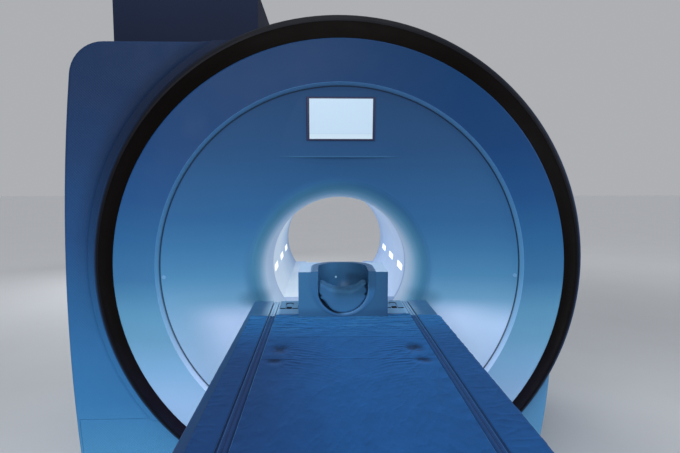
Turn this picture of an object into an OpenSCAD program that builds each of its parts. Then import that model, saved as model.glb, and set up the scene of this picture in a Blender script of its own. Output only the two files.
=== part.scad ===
// Magnetic resonance scanner: a round-fronted gantry with an offset tower, and its patient table.
// Millimetres. The origin is on the floor, straight below the centre of the magnet.
// +X is to the right as the patient end is faced, +Y runs into the bore, +Z is up.

/* [Bore] */
// Inner diameter of the patient bore
bore_d = 700; // [690:1:710]
// Height of the bore's axis above the floor
axis_z = 1100; // [1080:1:1120]
// Length of the bore liner
liner_len = 1230; // [1200:1:1250]
// Wall of the bore liner
liner_wall = 8; // [6:0.5:10]
// Length of a light window in the liner
window_len = 180; // [140:1:220]
// Height of a light window in the liner
window_h = 34; // [24:1:44]
// Distance between the centres of two light windows
window_pitch = 385; // [340:1:400]
// How far the middle window's centre lies in front of the magnet's centre
window_shift = 45; // [0:1:90]
// How far the windows' centre lies below the bore's axis
window_drop = 44; // [10:1:80]

/* [Flared mouth] */
// Length of the curved flare in front of the liner
flare_len = 235; // [215:1:250]
// Growth of the radius over the flare
flare_r = 95; // [85:1:105]
// Depth of the dished panel between its rim and the flare
dish_depth = 68; // [55:1:75]
// Radius of the seam round the dished panel
panel_r = 849; // [835:1:860]
// Wall of the moulded panels
panel_wall = 6; // [4:0.5:7]
// Distance from the panel's rim down to the flat facet's lower edge
facet_drop = 303; // [280:1:330]
// Half width of the flat facet under the display
facet_half_w = 290; // [240:1:310]

/* [Round front] */
// How far the round front's centre lies above the bore's axis
face_lift = 20; // [10:1:26]
// How far the white ring stands proud of the dished panel's rim
step_h = 26; // [15:1:35]
// Radial width of the bevel at the white ring's inner edge
bevel_w = 9; // [4:0.5:14]
// Radial width of the white ring
disc_w = 209; // [190:1:225]
// Radial width of the dark ring
ring_w = 93; // [75:1:105]
// How far the dark ring falls back between its two edges
trim_fall = 68; // [50:1:75]
// Radial width of the front shell's lip, out to the drum's side
lip_w = 39; // [30:1:48]
// How far the front shell's lip falls back to the drum's side
lip_fall = 54; // [40:1:60]
// Width of the seams between the moulded covers
seam = 3.5; // [2:0.5:5]

/* [Display] */
// Width of the display's frame
display_w = 314; // [280:1:340]
// Height of the display's frame
display_h = 196; // [170:1:210]
// Distance from the panel's rim down to the display's centre
display_drop = 127; // [121:1:135]
// Border of the frame at the glass's sides
display_side = 10.5; // [6:0.5:16]
// Border of the frame above and below the glass
display_edge = 6.5; // [4:0.5:10]

/* [Covers] */
// Thickness of the body covers
cover_wall = 6; // [4:0.5:8]
// Distance of the tower's front face in front of the magnet's centre
tower_f = 780; // [765:1:795]
// How far the tower's top lies below the drum's
tower_drop = 114; // [95:1:130]
// How far the tower reaches out past the drum's side
tower_w = 163; // [135:1:175]
// Radius of the tower's bowed side
tower_bow = 9800; // [8000:100:12000]
// Radius of the tower's upper corner
tower_corner = 170; // [140:1:200]
// Radius of the rounded edge round the covers' faces
edge_r = 16; // [10:1:20]
// Height of the seam over the lower left panel
kick_z = 337; // [310:1:360]
// How far the lower right cover lies inside the drum's side
skirt_in = 105; // [96:1:125]
// Radius of the right cover's bowed foot
skirt_bow = 3100; // [2800:50:3600]
// Distance between the magnet's centre and the back of the rear cover
rear_len = 720; // [715:1:740]
// Distance from the tower's side to the vent shroud's left edge
vent_in = 158; // [140:1:180]
// Width of the vent shroud
vent_w = 765; // [740:1:790]
// Height of the vent shroud over the tower's top
vent_h = 344; // [300:1:400]
// Thickness of the floor frame
plinth_t = 20; // [15:1:25]

/* [Magnet] */
// Room between the magnet vessel and the drum's side
vessel_room = 240; // [220:1:260]
// Inner diameter of the magnet vessel
vessel_bore = 900; // [890:1:920]
// Length of the magnet vessel
vessel_len = 1420; // [1360:10:1440]
// Wall of the magnet vessel
vessel_wall = 14; // [10:1:18]
// Wall of the radio-frequency body coil
rf_wall = 18; // [14:1:22]
// Distance between the ends of the gradient coil and of the liner
gradient_in = 25; // [18:1:60]

/* [Table] */
// Height of the table's surface above the floor
table_top = 963; // [950:1:975]
// Overall width of the table
table_w = 829; // [805:1:845]
// Width of the cradle
cradle_w = 577; // [560:1:580]
// Thickness of the cradle
cradle_t = 38; // [32:1:44]
// Length of the cradle
cradle_len = 2245; // [2150:5:2250]
// Gap between the table's near end and the magnet's centre
table_f = 888; // [886:1:900]
// Length of the side boards
board_len = 2262; // [2250:1:2400]
// Width of a guide rail
rail_w = 21; // [16:1:26]
// Gap on each side of a guide rail
rail_gap = 5.5; // [4:0.5:7]
// Height of the runners under the cradle
runner_h = 11.7; // [9:0.1:14]
// Depth of the table's frame under its deck
frame_h = 92; // [80:1:110]
// Thickness of the deck
deck_t = 8; // [6:0.5:10]
// Thickness of the sheet
sheet_t = 2; // [1:0.5:3]
// Thickness of the mattress
mattress_t = 16; // [12:1:20]
// Distance from the cradle's head end to the sheet's edge
sheet_start = 271; // [262:1:300]

/* [Lift column] */
// Travel of the table's lift
lift_travel = 300; // [240:10:300]
// Overlap of two column sleeves when the table is up
sleeve_lap = 110; // [90:1:130]
// Width of the lowest column sleeve
column_w = 380; // [340:1:400]
// Length of the lowest column sleeve
column_l = 660; // [600:10:760]
// Wall of the column sleeves
sleeve_wall = 4; // [3:0.5:6]
// Distance of the column's centre in front of the magnet's centre
column_f = 1950; // [1900:10:2050]
// Diameter of the lift screw
screw_d = 40; // [30:1:50]

/* [Head coil] */
// Width of the coil's base block
coil_w = 378; // [350:1:390]
// Height of the coil's base block
coil_h = 192; // [180:1:200]
// Length of the coil's base block
coil_len = 255; // [240:1:270]
// Distance from the cradle's head end to the coil
coil_start = 55; // [40:1:60]
// Inner radius of the coil's bowl
bowl_r = 106; // [95:1:115]
// Wall of the coil's bowl
bowl_wall = 8; // [5:1:10]
// Width of the bowl's flat brim
brim_w = 31; // [20:1:35]
// Height of the cushion's neck roll over the table's surface
neck_h = 132; // [110:1:140]

/* [Hidden] */
// Clearance between pieces that seat on or in each other
seat = 0.3;
// Clearance of a pin in its hole
pin_clear = 0.1;
// Clearance between the column sleeves
sleeve_clear = 0.8;
// Excess of a cut beyond the surface that it opens
cut = 1;
// Facets of the large round covers, of bowls and of small round parts
big_fn = 180;
bowl_fn = 96;
small_fn = 48;

bore_r = bore_d / 2;
face_z = axis_z + face_lift;
// Angle at which the flare's curve meets the dish
flare_end = 86;

// Distances in front of the magnet's centre
liner_f = liner_len / 2;
mouth_f = liner_f + 2;
dish_f = mouth_f + flare_len * sin(flare_end);
dish_r = bore_r + flare_r * (1 - cos(flare_end));
rim_f = dish_f + dish_depth;
dish_slope = dish_depth / (panel_r - dish_r);
bevel_r = panel_r + seam + bevel_w;
disc_r = panel_r + disc_w;
trim_r = disc_r + ring_w;
drum_r = trim_r + lip_w;
facet_z = panel_r - facet_drop;
display_z = panel_r - display_drop;
tower_x = drum_r + tower_w;
tower_top = face_z + drum_r - tower_drop;
skirt_x = drum_r - skirt_in;
vent_left = tower_x - vent_in;
vent_right = vent_left - vent_w;
vent_top = tower_top + vent_h;
vessel_d = 2 * (drum_r - vessel_room);
gradient_len = liner_len - 2 * gradient_in;
step_f = rim_f + step_h;
disc_fall = 11;
disc_f = step_f - disc_fall;
trim_f = disc_f - trim_fall;
lip_f = trim_f - lip_fall;
// Joints between the front covers, the side covers and the rear cover
joint_f = 450;
rear_depth = 77;
rear_joint = rear_len - rear_depth;
// Ledges that seat the dished panel and the dark ring, and the rims' depths
panel_ledge = 12;
panel_seat_f = dish_at(panel_r - panel_ledge - face_lift) - panel_wall - seat;
ring_ledge = 30;
ring_rim = 14;
disc_rim = 20;
disc_bulge = 4;
ring_bulge = 5;
// Width and depth of a seam scored in the drum's side
score = 1.5;
// Angle of the drum's upper seam, right of the top
score_a = 34.3;

// Outer radius of the turned dish before it is trimmed to the panel's round edge
dish_out = panel_r + 2 * face_lift + 1;
// Radius of the collars that slip over the liner's ends
collar_r = bore_r + liner_wall + seat;

// The flat facet that carries the display stands on the dished panel, and clears the frame's corners
facet_rim = 6;
facet_edge_r = norm([facet_half_w, facet_z]);
facet_f = dish_at(facet_edge_r);
facet_top_z = display_z + display_h / 2 + facet_rim;
facet_tilt = atan((dish_at(norm([display_w / 2 + facet_rim, facet_top_z])) + 2 * seat - facet_f)
    / (facet_top_z - facet_z));

// Display: tray behind the panel, frame and glass
tray_w = display_w - 20;
tray_h = display_h - 20;
tray_depth = 30;
display_clear = 1;
bezel_t = 5;
glass_back = 1.5;
glass_t = 2.6;

// Body outline
body_r = drum_r - 10;
bottom_z = plinth_t;
foot_corner = 110;
bow_z = axis_z - 140;
skirt_start_z = axis_z - 400;
// The body's parts overlap by this much behind the drum
root_x = 200;
// Cove in the tower cover along the drum, and its step from the tower's face
cove_w = 70;
cove_r = 34;
cove_step = 20;
// Border of the lower left panel inside the tower's outline, and above the floor frame
kick_border = 19;
kick_foot = 30;
// Width of the side covers' turned-in flange on the floor frame
flange_w = 70;
// Overlap of the tower's side cover under the vent shroud
top_lap = 60;
// Back of the vent shroud behind the magnet's centre
vent_back = 250;
plinth_left = tower_x - foot_corner - 34;
plinth_right = skirt_x - pow(skirt_start_z - bottom_z, 2) / (2 * skirt_bow) - foot_corner / 2;
plinth_front = tower_f - 40;
plinth_back = rear_len - 90;

// Feet under the magnet
foot_x = 520;
foot_w = 180;
foot_l = 220;
foot_places = [-470, 325];
saddle_h = 28;
foot_top = axis_z + saddle_h - sqrt(pow(vessel_d / 2, 2) - pow(foot_x + foot_w / 2, 2));

// Cold mass: its distance from the vessel's bore, shell and ends, and its struts
mass_inner = 120;
mass_outer = 160;
mass_end = 110;
strut_r = 24;
strut_in = 80;

// Cold head: turret and motor, behind the magnet's centre
turret_w = 280;
turret_l = 260;
turret_f = -190;
turret_gap = 90;
motor_r = 70;
motor_gap = 24;

// Rear end of the rear funnel's collar, inside the rear cover's opening
collar_l = 14;
// Inner edge of the rails in the bore
bore_rail_x = 215;

// Heights in the table
deck_z = table_top - cradle_t - runner_h - seat;
frame_z = deck_z - deck_t - frame_h;
board_top = table_top - sheet_t;
rail_in = cradle_w / 2 + rail_gap;
board_in = rail_in + rail_w + rail_gap;
board_far_f = table_f;
board_near_f = table_f + board_len;
cradle_f = table_f - 12;
cradle_end_f = cradle_f + cradle_len;
tray_f = cradle_f + sheet_start - 20;
plate_t = 15;
plate_border = 80;
sleeve_h = (frame_z - plate_t + 2 * sleeve_lap) / 3;
screw_top = frame_z - lift_travel - 15;
screw_foot = 40;
nut_lap = 80;
nut_wall = 12;
sleeve_corner = 60;

// Beams and struts under the deck, and the gaps at the table's ends
beam_x = 130;
beam_w = 60;
frame_end = 12;
frame_side = 6;
fairing_end = 14;
fairing_side = 3;
fairing_wall = 4;
fairing_drop = 12;
// Rounded outer edge of the side boards
board_round = 10;
// Track along the guide rails
track_w = 4;
track_h = 3;
rail_drop = 4;

// Cradle: rounded nose, borders of the tray, runners
nose_r = 20;
tray_border = 14;
tray_end = 40;
runner_w = 28;
runner_in = 20;

// Sockets in the cradle's head end, and their hinged lids
socket_w = 84;
socket_x = cradle_w / 2 - socket_w / 2 - 6.5;
socket_len = 143.5;
socket_depth = 26;
socket_block = [68, 90, 14];
socket_start = 18;
plug_hole = [48, 32, 9];
plug_pitch = 42;
lid_t = 4;
lid_gap = 1.5;
finger_gap = 12;
hinge_r = 2.4;
hinge_room = 7;
hinge_lap = 3;
barrel_r = 3;
hinge_f = cradle_f + 24;
hinge_z = table_top - 4.5;
pull_r = 16;
pull_floor = 1.2;
pull_len = 104;
pull_hole = 36;
hole_half = 0.75 * pull_r;

// Screw caps on the dished panel
cap_r = 9;
cap_t = 2;
cap_shank_r = 4;
cap_in = 19;
cap_drop = 14;

// Release handle at the cradle's foot end
handle_r = 6;
handle_w = 150;
handle_reach = 62;
handle_pin_r = 4;
handle_pin_lap = 13;
handle_slot = 14;
handle_f = cradle_end_f - 22;
handle_z = table_top - cradle_t / 2 - 3;

// Head coil: its own head end, the wall under the bowl, the closed end and the cushion
coil_f = cradle_f + coil_start;
coil_z = table_top + seat;
bowl_floor = 6;
bowl_end = 12;
bowl_lip = 2.5;
bowl_edge = 12;
bowl_z = coil_z + bowl_floor + bowl_wall + bowl_r;
bowl_f = coil_f + bowl_end + bowl_wall + bowl_r;
coil_front = coil_f + coil_len;
coil_top = coil_z + coil_h;
// Round of the brim across the table: wider than the bowl, with its foot close to the table
brim_r = bowl_r + brim_w;
brim_foot = 3;
brim_z = coil_z + brim_r + brim_foot;
pad_start = 70;
pad_end = 8;
pad_h = 66;
neck_len = 62;
ear_h = 155;
// Radius of the saddle across the neck roll
neck_r = 165;

// Reach of a cut or keeper that is longer than the part
far = 4000;

// Forward place of the dished panel's surface at a radius from the bore's axis
function dish_at(r) = dish_f + dish_slope * (r - dish_r);
// Point on the flare's visible curve at an angle, pushed into the wall by a depth
function flare_at(a, depth) =
    let (n = [flare_len * cos(a), -flare_r * sin(a)])
    [bore_r + flare_r * (1 - cos(a)), mouth_f + flare_len * sin(a)] + depth * n / norm(n);
// The same for the rear funnel, which runs back from the liner
function rear_at(a, depth) =
    let (run = rear_len - liner_f - 2, n = [run * cos(a), flare_r * sin(a)])
    [bore_r + flare_r * (1 - cos(a)), -liner_f - 2 - run * sin(a)] + depth * n / norm(n);
// Points on an arc round a centre
function arc(c, r, a0, a1, n) = [for (i = [0:n]) c + r * [cos(a0 + (a1 - a0) * i / n), sin(a0 + (a1 - a0) * i / n)]];

// Stands a drawing up so that its second axis is height and its third points at the viewer
module facing() rotate([90, 0, 0]) children();
// Extrudes a front-view outline between two distances in front of the magnet's centre
module slab(f0, f1) facing() translate([0, 0, f0]) linear_extrude(f1 - f0) children();
// Turns a profile of radius and forward distance round the bore's axis
module turned_bore() facing() translate([0, axis_z, 0]) rotate_extrude($fn = big_fn) children();
// Turns a profile of radius and forward distance round the front's axis
module turned_face() facing() translate([0, face_z, 0]) rotate_extrude($fn = big_fn) children();
// A cylinder along the front's or the bore's axis
module rod_face(r, f0, f1) facing() translate([0, face_z, f0]) cylinder(r = r, h = f1 - f0, $fn = big_fn);
module rod_bore(r, f0, f1) facing() translate([0, axis_z, f0]) cylinder(r = r, h = f1 - f0, $fn = big_fn);
// A block given by its ranges in X, in forward distance and in height
module block(x, f, z) translate([x[0], -f[1], z[0]]) cube([x[1] - x[0], f[1] - f[0], z[1] - z[0]]);
// A ring with a rectangular section round the bore's axis
module sleeve_ring(r0, r1, f0, f1) difference() {
    rod_bore(r1, f0, f1);
    rod_bore(r0, f0 - 1, f1 + 1);
}
// Keeps what stands above the floor frame
module above_plinth() intersection() {
    children();
    block([-far, far], [-far, far], [bottom_z, far]);
}

// Outline of the tower, bowed at its left side, shrunk by an inset
module tower_outline(inset = 0) {
    bow_c = [tower_bow - tower_x, bow_z];
    r = tower_bow - inset;
    top = tower_top - inset;
    foot = bottom_z + inset;
    cr = tower_corner - inset;
    fr = foot_corner - inset;
    // centres of the corner arcs lie a corner radius inside the bow and the top or foot
    top_c = [bow_c[0] - sqrt(pow(r - cr, 2) - pow(top - cr - bow_c[1], 2)), top - cr];
    foot_c = [bow_c[0] - sqrt(pow(r - fr, 2) - pow(foot + fr - bow_c[1], 2)), foot + fr];
    top_a = atan2(bow_c[1] - top_c[1], bow_c[0] - top_c[0]);
    foot_a = atan2(bow_c[1] - foot_c[1], bow_c[0] - foot_c[0]);
    polygon(concat(
        [[-root_x, foot]],
        arc(foot_c, fr, -90, -180 + foot_a, 8),
        arc(bow_c, r, -180 + foot_a, -180 + top_a, 14),
        arc(top_c, cr, 180 + top_a, 90, 10),
        [[-root_x, top]]));
}

// Outline of the lower right cover with its bowed foot, shrunk by an inset
module skirt_outline(inset = 0) {
    foot = bottom_z + inset;
    bow_c = [skirt_x - skirt_bow, skirt_start_z];
    r = skirt_bow - inset;
    fr = foot_corner / 2 - inset;
    foot_c = [bow_c[0] + sqrt(pow(r - fr, 2) - pow(foot + fr - bow_c[1], 2)), foot + fr];
    foot_a = atan2(foot_c[1] - bow_c[1], foot_c[0] - bow_c[0]);
    polygon(concat(
        [[root_x, foot]],
        arc(foot_c, fr, -90, foot_a, 6),
        arc(bow_c, r, foot_a, 0, 10),
        [[skirt_x - inset, face_z], [root_x, face_z]]));
}

// Outline of the body's round part with its bowed right foot
module round_outline(inset = 0) {
    intersection() {
        translate([0, face_z]) circle(r = body_r - inset, $fn = big_fn);
        translate([-far / 2, bottom_z + inset]) square([far, far]);
    }
    skirt_outline(inset);
}

// Outline of the whole body behind the round front
module body_outline(inset = 0) {
    round_outline(inset);
    tower_outline(inset);
}

// Solid with a rounded front edge: an outline that shrinks towards its face
module tower_block(f0, f1, inset) hull() {
    for (a = [0:30:90])
        slab(f0, f1 - edge_r * (1 - sin(a)) - inset)
            tower_outline(inset + edge_r * (1 - cos(a)));
}
module skirt_block(f0, f1, inset) hull() {
    for (a = [0:30:90])
        slab(f0, f1 - edge_r * (1 - sin(a)) - inset)
            skirt_outline(inset + edge_r * (1 - cos(a)));
}

// Steel plate on the floor that carries the magnet and the covers
module floor_frame() color("dimgray")
    block([-plinth_left, plinth_right], [-plinth_back, plinth_front], [0, plinth_t]);

// Four feet with saddles that fit the round vessel
module magnet_feet() color("slategray") difference() {
    for (x = [-foot_x, foot_x], f = foot_places)
        block([x - foot_w / 2, x + foot_w / 2], [f - foot_l / 2, f + foot_l / 2], [plinth_t, foot_top]);
    rod_bore(vessel_d / 2 + seat, -vessel_len, vessel_len);
}

// Vacuum vessel: two tubes joined by end plates, hollow between them
module magnet_vessel() color("lightsteelblue") {
    half = vessel_len / 2;
    turned_bore() difference() {
        translate([vessel_bore / 2, -half]) square([(vessel_d - vessel_bore) / 2, vessel_len]);
        translate([vessel_bore / 2 + vessel_wall, -half + vessel_wall])
            square([(vessel_d - vessel_bore) / 2 - 2 * vessel_wall, vessel_len - 2 * vessel_wall]);
    }
}

// Cold mass with the superconducting windings, hung on radial struts inside the vessel
module helium_vessel() color("silver") {
    inner = vessel_bore / 2 + mass_inner;
    outer = vessel_d / 2 - mass_outer;
    half = vessel_len / 2 - mass_end;
    sleeve_ring(inner, outer, -half, half);
    intersection() {
        facing() translate([0, axis_z, 0]) for (a = [45:90:315], f = [-half + strut_in, half - strut_in])
            translate([0, 0, f]) rotate([0, 0, a]) translate([outer - strut_r, 0, 0])
                rotate([0, 90, 0]) cylinder(r = strut_r, h = 2 * mass_outer, $fn = small_fn);
        rod_bore(vessel_d / 2 - vessel_wall - seat, -half, half);
    }
}

// Gradient coil, a thick cast tube that fills the vessel's bore
module gradient_coil() color("peru")
    sleeve_ring(bore_r + liner_wall + rf_wall + 2 * seat, vessel_bore / 2 - seat,
        -gradient_len / 2, gradient_len / 2);

// Radio-frequency body coil on a tube round the liner
module rf_body_coil() color("darkseagreen")
    sleeve_ring(bore_r + liner_wall + seat, bore_r + liner_wall + rf_wall + seat,
        -gradient_len / 2 + 20, gradient_len / 2 - 20);

// Blocks at the places of the six light windows, grown by a margin
module window_blocks(grow) {
    for (side = [-1, 1], i = [-1:1]) {
        f = window_shift + i * window_pitch;
        z = axis_z - window_drop;
        block([side > 0 ? bore_r / 2 : -bore_d, side > 0 ? bore_d : -bore_r / 2],
            [f - window_len / 2 - grow, f + window_len / 2 + grow],
            [z - window_h / 2 - grow, z + window_h / 2 + grow]);
    }
}

// Tube round the patient with the openings of its light windows
module bore_liner() color("aliceblue") difference() {
    sleeve_ring(bore_r, bore_r + liner_wall, -liner_f, liner_f);
    window_blocks(0);
}

// Curved diffusers flush in the liner's windows
module bore_lights() color("white") intersection() {
    sleeve_ring(bore_r + 0.5, bore_r + liner_wall - 0.5, -liner_f, liner_f);
    window_blocks(-seat);
}

// Rail in the bore that carries the cradle, fitted to the liner's curve
module bore_rail(side) intersection() {
    rod_bore(bore_r - seat, -liner_f + 2, liner_f - 2);
    block([side > 0 ? bore_rail_x : -bore_r, side > 0 ? bore_r : -bore_rail_x], [-liner_f, liner_f], [0, deck_z]);
}
module left_bore_rail() color("gainsboro") bore_rail(-1);
module right_bore_rail() color("gainsboro") bore_rail(1);

// Drum-shaped shell: rounded lip, side wall and the flange that seats the dark ring
module front_shell() color("lightsteelblue") above_plinth() difference() {
    turned_face() polygon(concat(
        [[trim_r + 1, trim_f - ring_rim], [trim_r + 1, trim_f]],
        // the lip bulges a little between the ring and the drum's side
        [for (a = [15:15:90]) [trim_r + 1 + (drum_r - trim_r - 1) * sin(a), lip_f + lip_fall * cos(a)]],
        [[drum_r, joint_f], [drum_r - cover_wall, joint_f], [drum_r - cover_wall, lip_f]],
        [for (a = [75:-15:15])
            [trim_r - cover_wall + (drum_r - trim_r) * sin(a), lip_f - 8 + (lip_fall - cover_wall) * cos(a)]],
        [[trim_r - ring_ledge, trim_f - ring_rim - panel_wall], [trim_r - ring_ledge, trim_f - ring_rim]]));
    // seams where the shell's parts meet, to the right of the top and at each side
    for (a = [-score_a, 90, 270])
        facing() translate([0, face_z, joint_f - cut]) rotate([0, 0, a])
            translate([-score / 2, drum_r - score, 0]) cube([score, 2 * score, lip_f + lip_fall - joint_f]);
}

// Near-black conical ring between the white ring and the drum's lip
module trim_ring() color([0.07, 0.05, 0.04]) above_plinth() turned_face() {
    inner = disc_r + 0.5;
    front = [for (i = [0:6]) let (t = i / 6)
        [inner + (trim_r - inner) * t, disc_f - 1 - (trim_fall - 2) * t + ring_bulge * sin(180 * t)]];
    polygon(concat(front,
        [[trim_r, trim_f - ring_rim + seat], [trim_r - ring_ledge + panel_wall, trim_f - ring_rim + seat]],
        [for (i = [5:-1:0]) front[i] - [i == 0 ? 0 : 2, panel_wall]]));
}

// White ring with the bevelled inner edge and the ledge that seats the dished panel
module front_disc() color("aliceblue") turned_face() {
    inner = panel_r + seam;
    w = disc_r - bevel_r - 6;
    face = [for (i = [0:8]) let (t = i / 8)
        [bevel_r + w * t, step_f - (disc_fall - 3) * t + disc_bulge * sin(180 * t)]];
    polygon(concat(
        [[panel_r - panel_ledge, panel_seat_f - panel_wall], [panel_r - panel_ledge, panel_seat_f],
            [inner, panel_seat_f], [inner, rim_f - 4]],
        face,
        [[disc_r - 2, disc_f + 1], [disc_r, disc_f - 2], [disc_r, disc_f - disc_rim],
            [disc_r - panel_wall, disc_f - disc_rim], [disc_r - panel_wall, disc_f - panel_wall]],
        [for (i = [7:-1:0]) face[i] - [0, panel_wall]],
        [[inner + panel_wall, rim_f - 6], [inner + panel_wall, panel_seat_f - panel_wall]]));
}

// Places a drawing on the flat facet: second axis up the facet, third out of it
module on_facet() translate([0, -facet_f, axis_z + facet_z]) rotate([90 + facet_tilt, 0, 0]) children();

// Dished panel that flares into the bore, with the flat facet for the display
module funnel_panel() color("aliceblue") difference() {
    intersection() {
        union() {
            turned_bore() polygon(concat(
                [for (a = [0:6:78]) flare_at(a, 0)],
                [[dish_r, dish_f], [dish_out, dish_at(dish_out)], [dish_out, dish_at(dish_out) - panel_wall]],
                [[dish_r, dish_f - panel_wall]],
                [for (a = [78:-6:0]) flare_at(a, panel_wall)],
                [[collar_r + panel_wall, liner_f - collar_l], [collar_r, liner_f - collar_l],
                    [collar_r, mouth_f - 1]]));
            // the facet's pad fills the space between the dish and a tilted plane
            difference() {
                on_facet() translate([-panel_r / 2, 0, -dish_depth]) cube([panel_r, panel_r - facet_z, dish_depth]);
                turned_bore() polygon([[0, 0], [0, dish_at(0) - 1],
                    [dish_out, dish_at(dish_out) - 1], [dish_out, 0]]);
            }
        }
        rod_face(panel_r, 0, far);
    }
    on_facet() translate([0, display_z - facet_z, 0])
        cube([tray_w + 2 * display_clear, tray_h + 2 * display_clear, 4 * tray_depth], center = true);
    at_caps() translate([0, 0, -2 * cap_in]) cylinder(r = cap_shank_r + seat, h = 4 * cap_in, $fn = small_fn);
}

// Places of the two screw caps near the panel's rim, square to its surface
module at_caps() for (s = [-1, 1])
    translate([s * (panel_r - cap_in), -dish_at(panel_r - cap_in), axis_z - cap_drop])
        rotate([0, 0, -s * atan(dish_slope)]) rotate([90, 0, 0]) children();

// Frame of the display with the tray behind the panel
module display_bezel() color([0.05, 0.06, 0.14]) on_facet() translate([0, display_z - facet_z, 0]) difference() {
    union() {
        translate([-display_w / 2, -display_h / 2, seat]) cube([display_w, display_h, bezel_t]);
        translate([-tray_w / 2, -tray_h / 2, -tray_depth]) cube([tray_w, tray_h, tray_depth + cut]);
    }
    translate([-display_w / 2 + display_side, -display_h / 2 + display_edge, glass_back])
        cube([display_w - 2 * display_side, display_h - 2 * display_edge, bezel_t + cut]);
}

// Glass of the display, a little below the frame's face
module display_glass() color("lightcyan") on_facet() translate([0, display_z - facet_z, glass_back])
    translate([-display_w / 2 + display_side + seat, -display_h / 2 + display_edge + seat, 0])
        cube([display_w - 2 * display_side - 2 * seat, display_h - 2 * display_edge - 2 * seat, glass_t]);

// Caps over the panel's two fixing screws
module panel_caps() color("gainsboro") at_caps() {
    translate([0, 0, seat]) cylinder(r = cap_r, h = cap_t, $fn = small_fn);
    translate([0, 0, -cap_r]) cylinder(r = cap_shank_r, h = cap_r + cap_t, $fn = small_fn);
}

// Area of the lower left panel, inside the tower's face
module kick_area(inset) intersection() {
    tower_outline(kick_border + inset);
    translate([-far, bottom_z + kick_foot]) square([far - root_x, kick_z - bottom_z - kick_foot - inset]);
}

// Tower's front cover with its cove towards the round front and the recess of its lower panel
module tower_cover() color("lightsteelblue") difference() {
    intersection() {
        union() {
            tower_block(joint_f + seat, tower_f, 0);
            turned_face() polygon(concat(
                [[drum_r, tower_f - cove_step], [drum_r + cove_w, tower_f - cove_step]],
                arc([drum_r + cove_w, tower_f + cove_r], cove_r, -90, -150, 5),
                [[drum_r, tower_f + cove_r - 8]]));
        }
        slab(joint_f, lip_f + lip_fall / 2) tower_outline(0);
    }
    difference() {
        slab(joint_f - cut, tower_f - cover_wall) tower_outline(cover_wall);
        // backing of the lower panel's recess
        slab(tower_f - 3 * cover_wall, tower_f) kick_area(-2 * cover_wall);
    }
    slab(tower_f - cover_wall - seat, tower_f + cove_w) kick_area(0);
    rod_face(drum_r + 2 * seat, 0, far);
}

// Removable panel flush in the tower's face
module lower_left_panel() color("lightsteelblue") difference() {
    slab(tower_f - cover_wall, tower_f) kick_area(seam / 2);
    rod_face(drum_r + seam, 0, far);
}

// Cover at the lower right, between the drum and the body's bowed side
module lower_right_cover() color("lightsteelblue") difference() {
    skirt_block(joint_f + seat, tower_f, 0);
    slab(joint_f - cut, tower_f - cover_wall) skirt_outline(cover_wall);
    rod_face(drum_r + 2 * seat, 0, far);
}

// Wall between the front covers and the rear cover, given its outer and inner outline
module body_wall() difference() {
    slab(-rear_joint + 2 * seat, joint_f - seat) children(0);
    slab(-rear_len, tower_f) children(1);
    block([-plinth_left + flange_w, plinth_right - flange_w], [-rear_len, tower_f], [0, bottom_z + cover_wall + cut]);
}

// Side cover behind the tower, up to where its top meets the round body
module left_side_cover() color("lightsteelblue") intersection() {
    body_wall() {
        tower_outline(0);
        tower_outline(cover_wall);
    }
    block([-far, -vent_right - top_lap], [-far, far], [0, far]);
}

// Cover over the top and down the right side
module right_side_cover() color("lightsteelblue") intersection() {
    body_wall() {
        round_outline(0);
        round_outline(cover_wall);
    }
    union() {
        block([-vent_right - top_lap + 2 * seat, far], [-far, far], [face_z, far]);
        block([0, far], [-far, far], [0, far]);
    }
}

// Rear cover: a shallow pan with the opening of the rear funnel
module rear_cover() color("lightsteelblue") difference() {
    mirror([0, 1, 0]) above_plinth() {
        tower_block(rear_joint, rear_len, 0);
        skirt_block(rear_joint, rear_len, 0);
        turned_face() polygon(concat([[0, rear_joint], [body_r, rear_joint]],
            arc([body_r - edge_r, rear_len - edge_r], edge_r, 0, 90, 3), [[0, rear_len]]));
    }
    mirror([0, 1, 0]) slab(rear_joint - cut, rear_len - cover_wall) body_outline(cover_wall + 2);
    rod_bore(bore_r + flare_r + seat, -far, 0);
}

// Rear funnel from the liner to the rear cover's opening
module rear_funnel() color("aliceblue") {
    turned_bore() polygon(concat(
        [for (a = [0:10:90]) rear_at(a, 0)],
        [[bore_r + flare_r, -rear_len + collar_l], [bore_r + flare_r - panel_wall, -rear_len + collar_l]],
        [for (a = [70:-10:0]) rear_at(a, panel_wall)],
        [[collar_r + panel_wall, -liner_f + collar_l], [collar_r, -liner_f + collar_l],
            [collar_r, -liner_f - 1]]));
}

// Cold head on its turret on top of the vessel
module cold_head() color("silver") difference() {
    top = face_z + body_r - cover_wall;
    translate([0, turret_f, axis_z]) union() {
        translate([-turret_w / 2, -turret_l / 2, 0]) cube([turret_w, turret_l, top - axis_z - turret_gap]);
        cylinder(r = motor_r, h = top - axis_z - motor_gap, $fn = small_fn);
    }
    rod_bore(vessel_d / 2 + seat, -vessel_len, vessel_len);
}

// Shroud of the vent pipe, standing on the tower's top
module vent_shroud() color("lightsteelblue") difference() {
    block([-vent_left, -vent_right], [-vent_back, joint_f], [tower_top + seat, vent_top]);
    block([-vent_left + cover_wall, -vent_right - cover_wall], [-vent_back + cover_wall, joint_f - cover_wall],
        [tower_top - cut, vent_top - cover_wall]);
    rod_face(body_r + seat, -far, far);
}

// Steel plate that ties the table's column to the scanner's floor frame
module table_floor_plate() color("dimgray")
    block([-column_w / 2 - plate_border, column_w / 2 + plate_border],
        [plinth_front, column_f + column_l / 2 + plate_border], [0, plate_t]);

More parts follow.
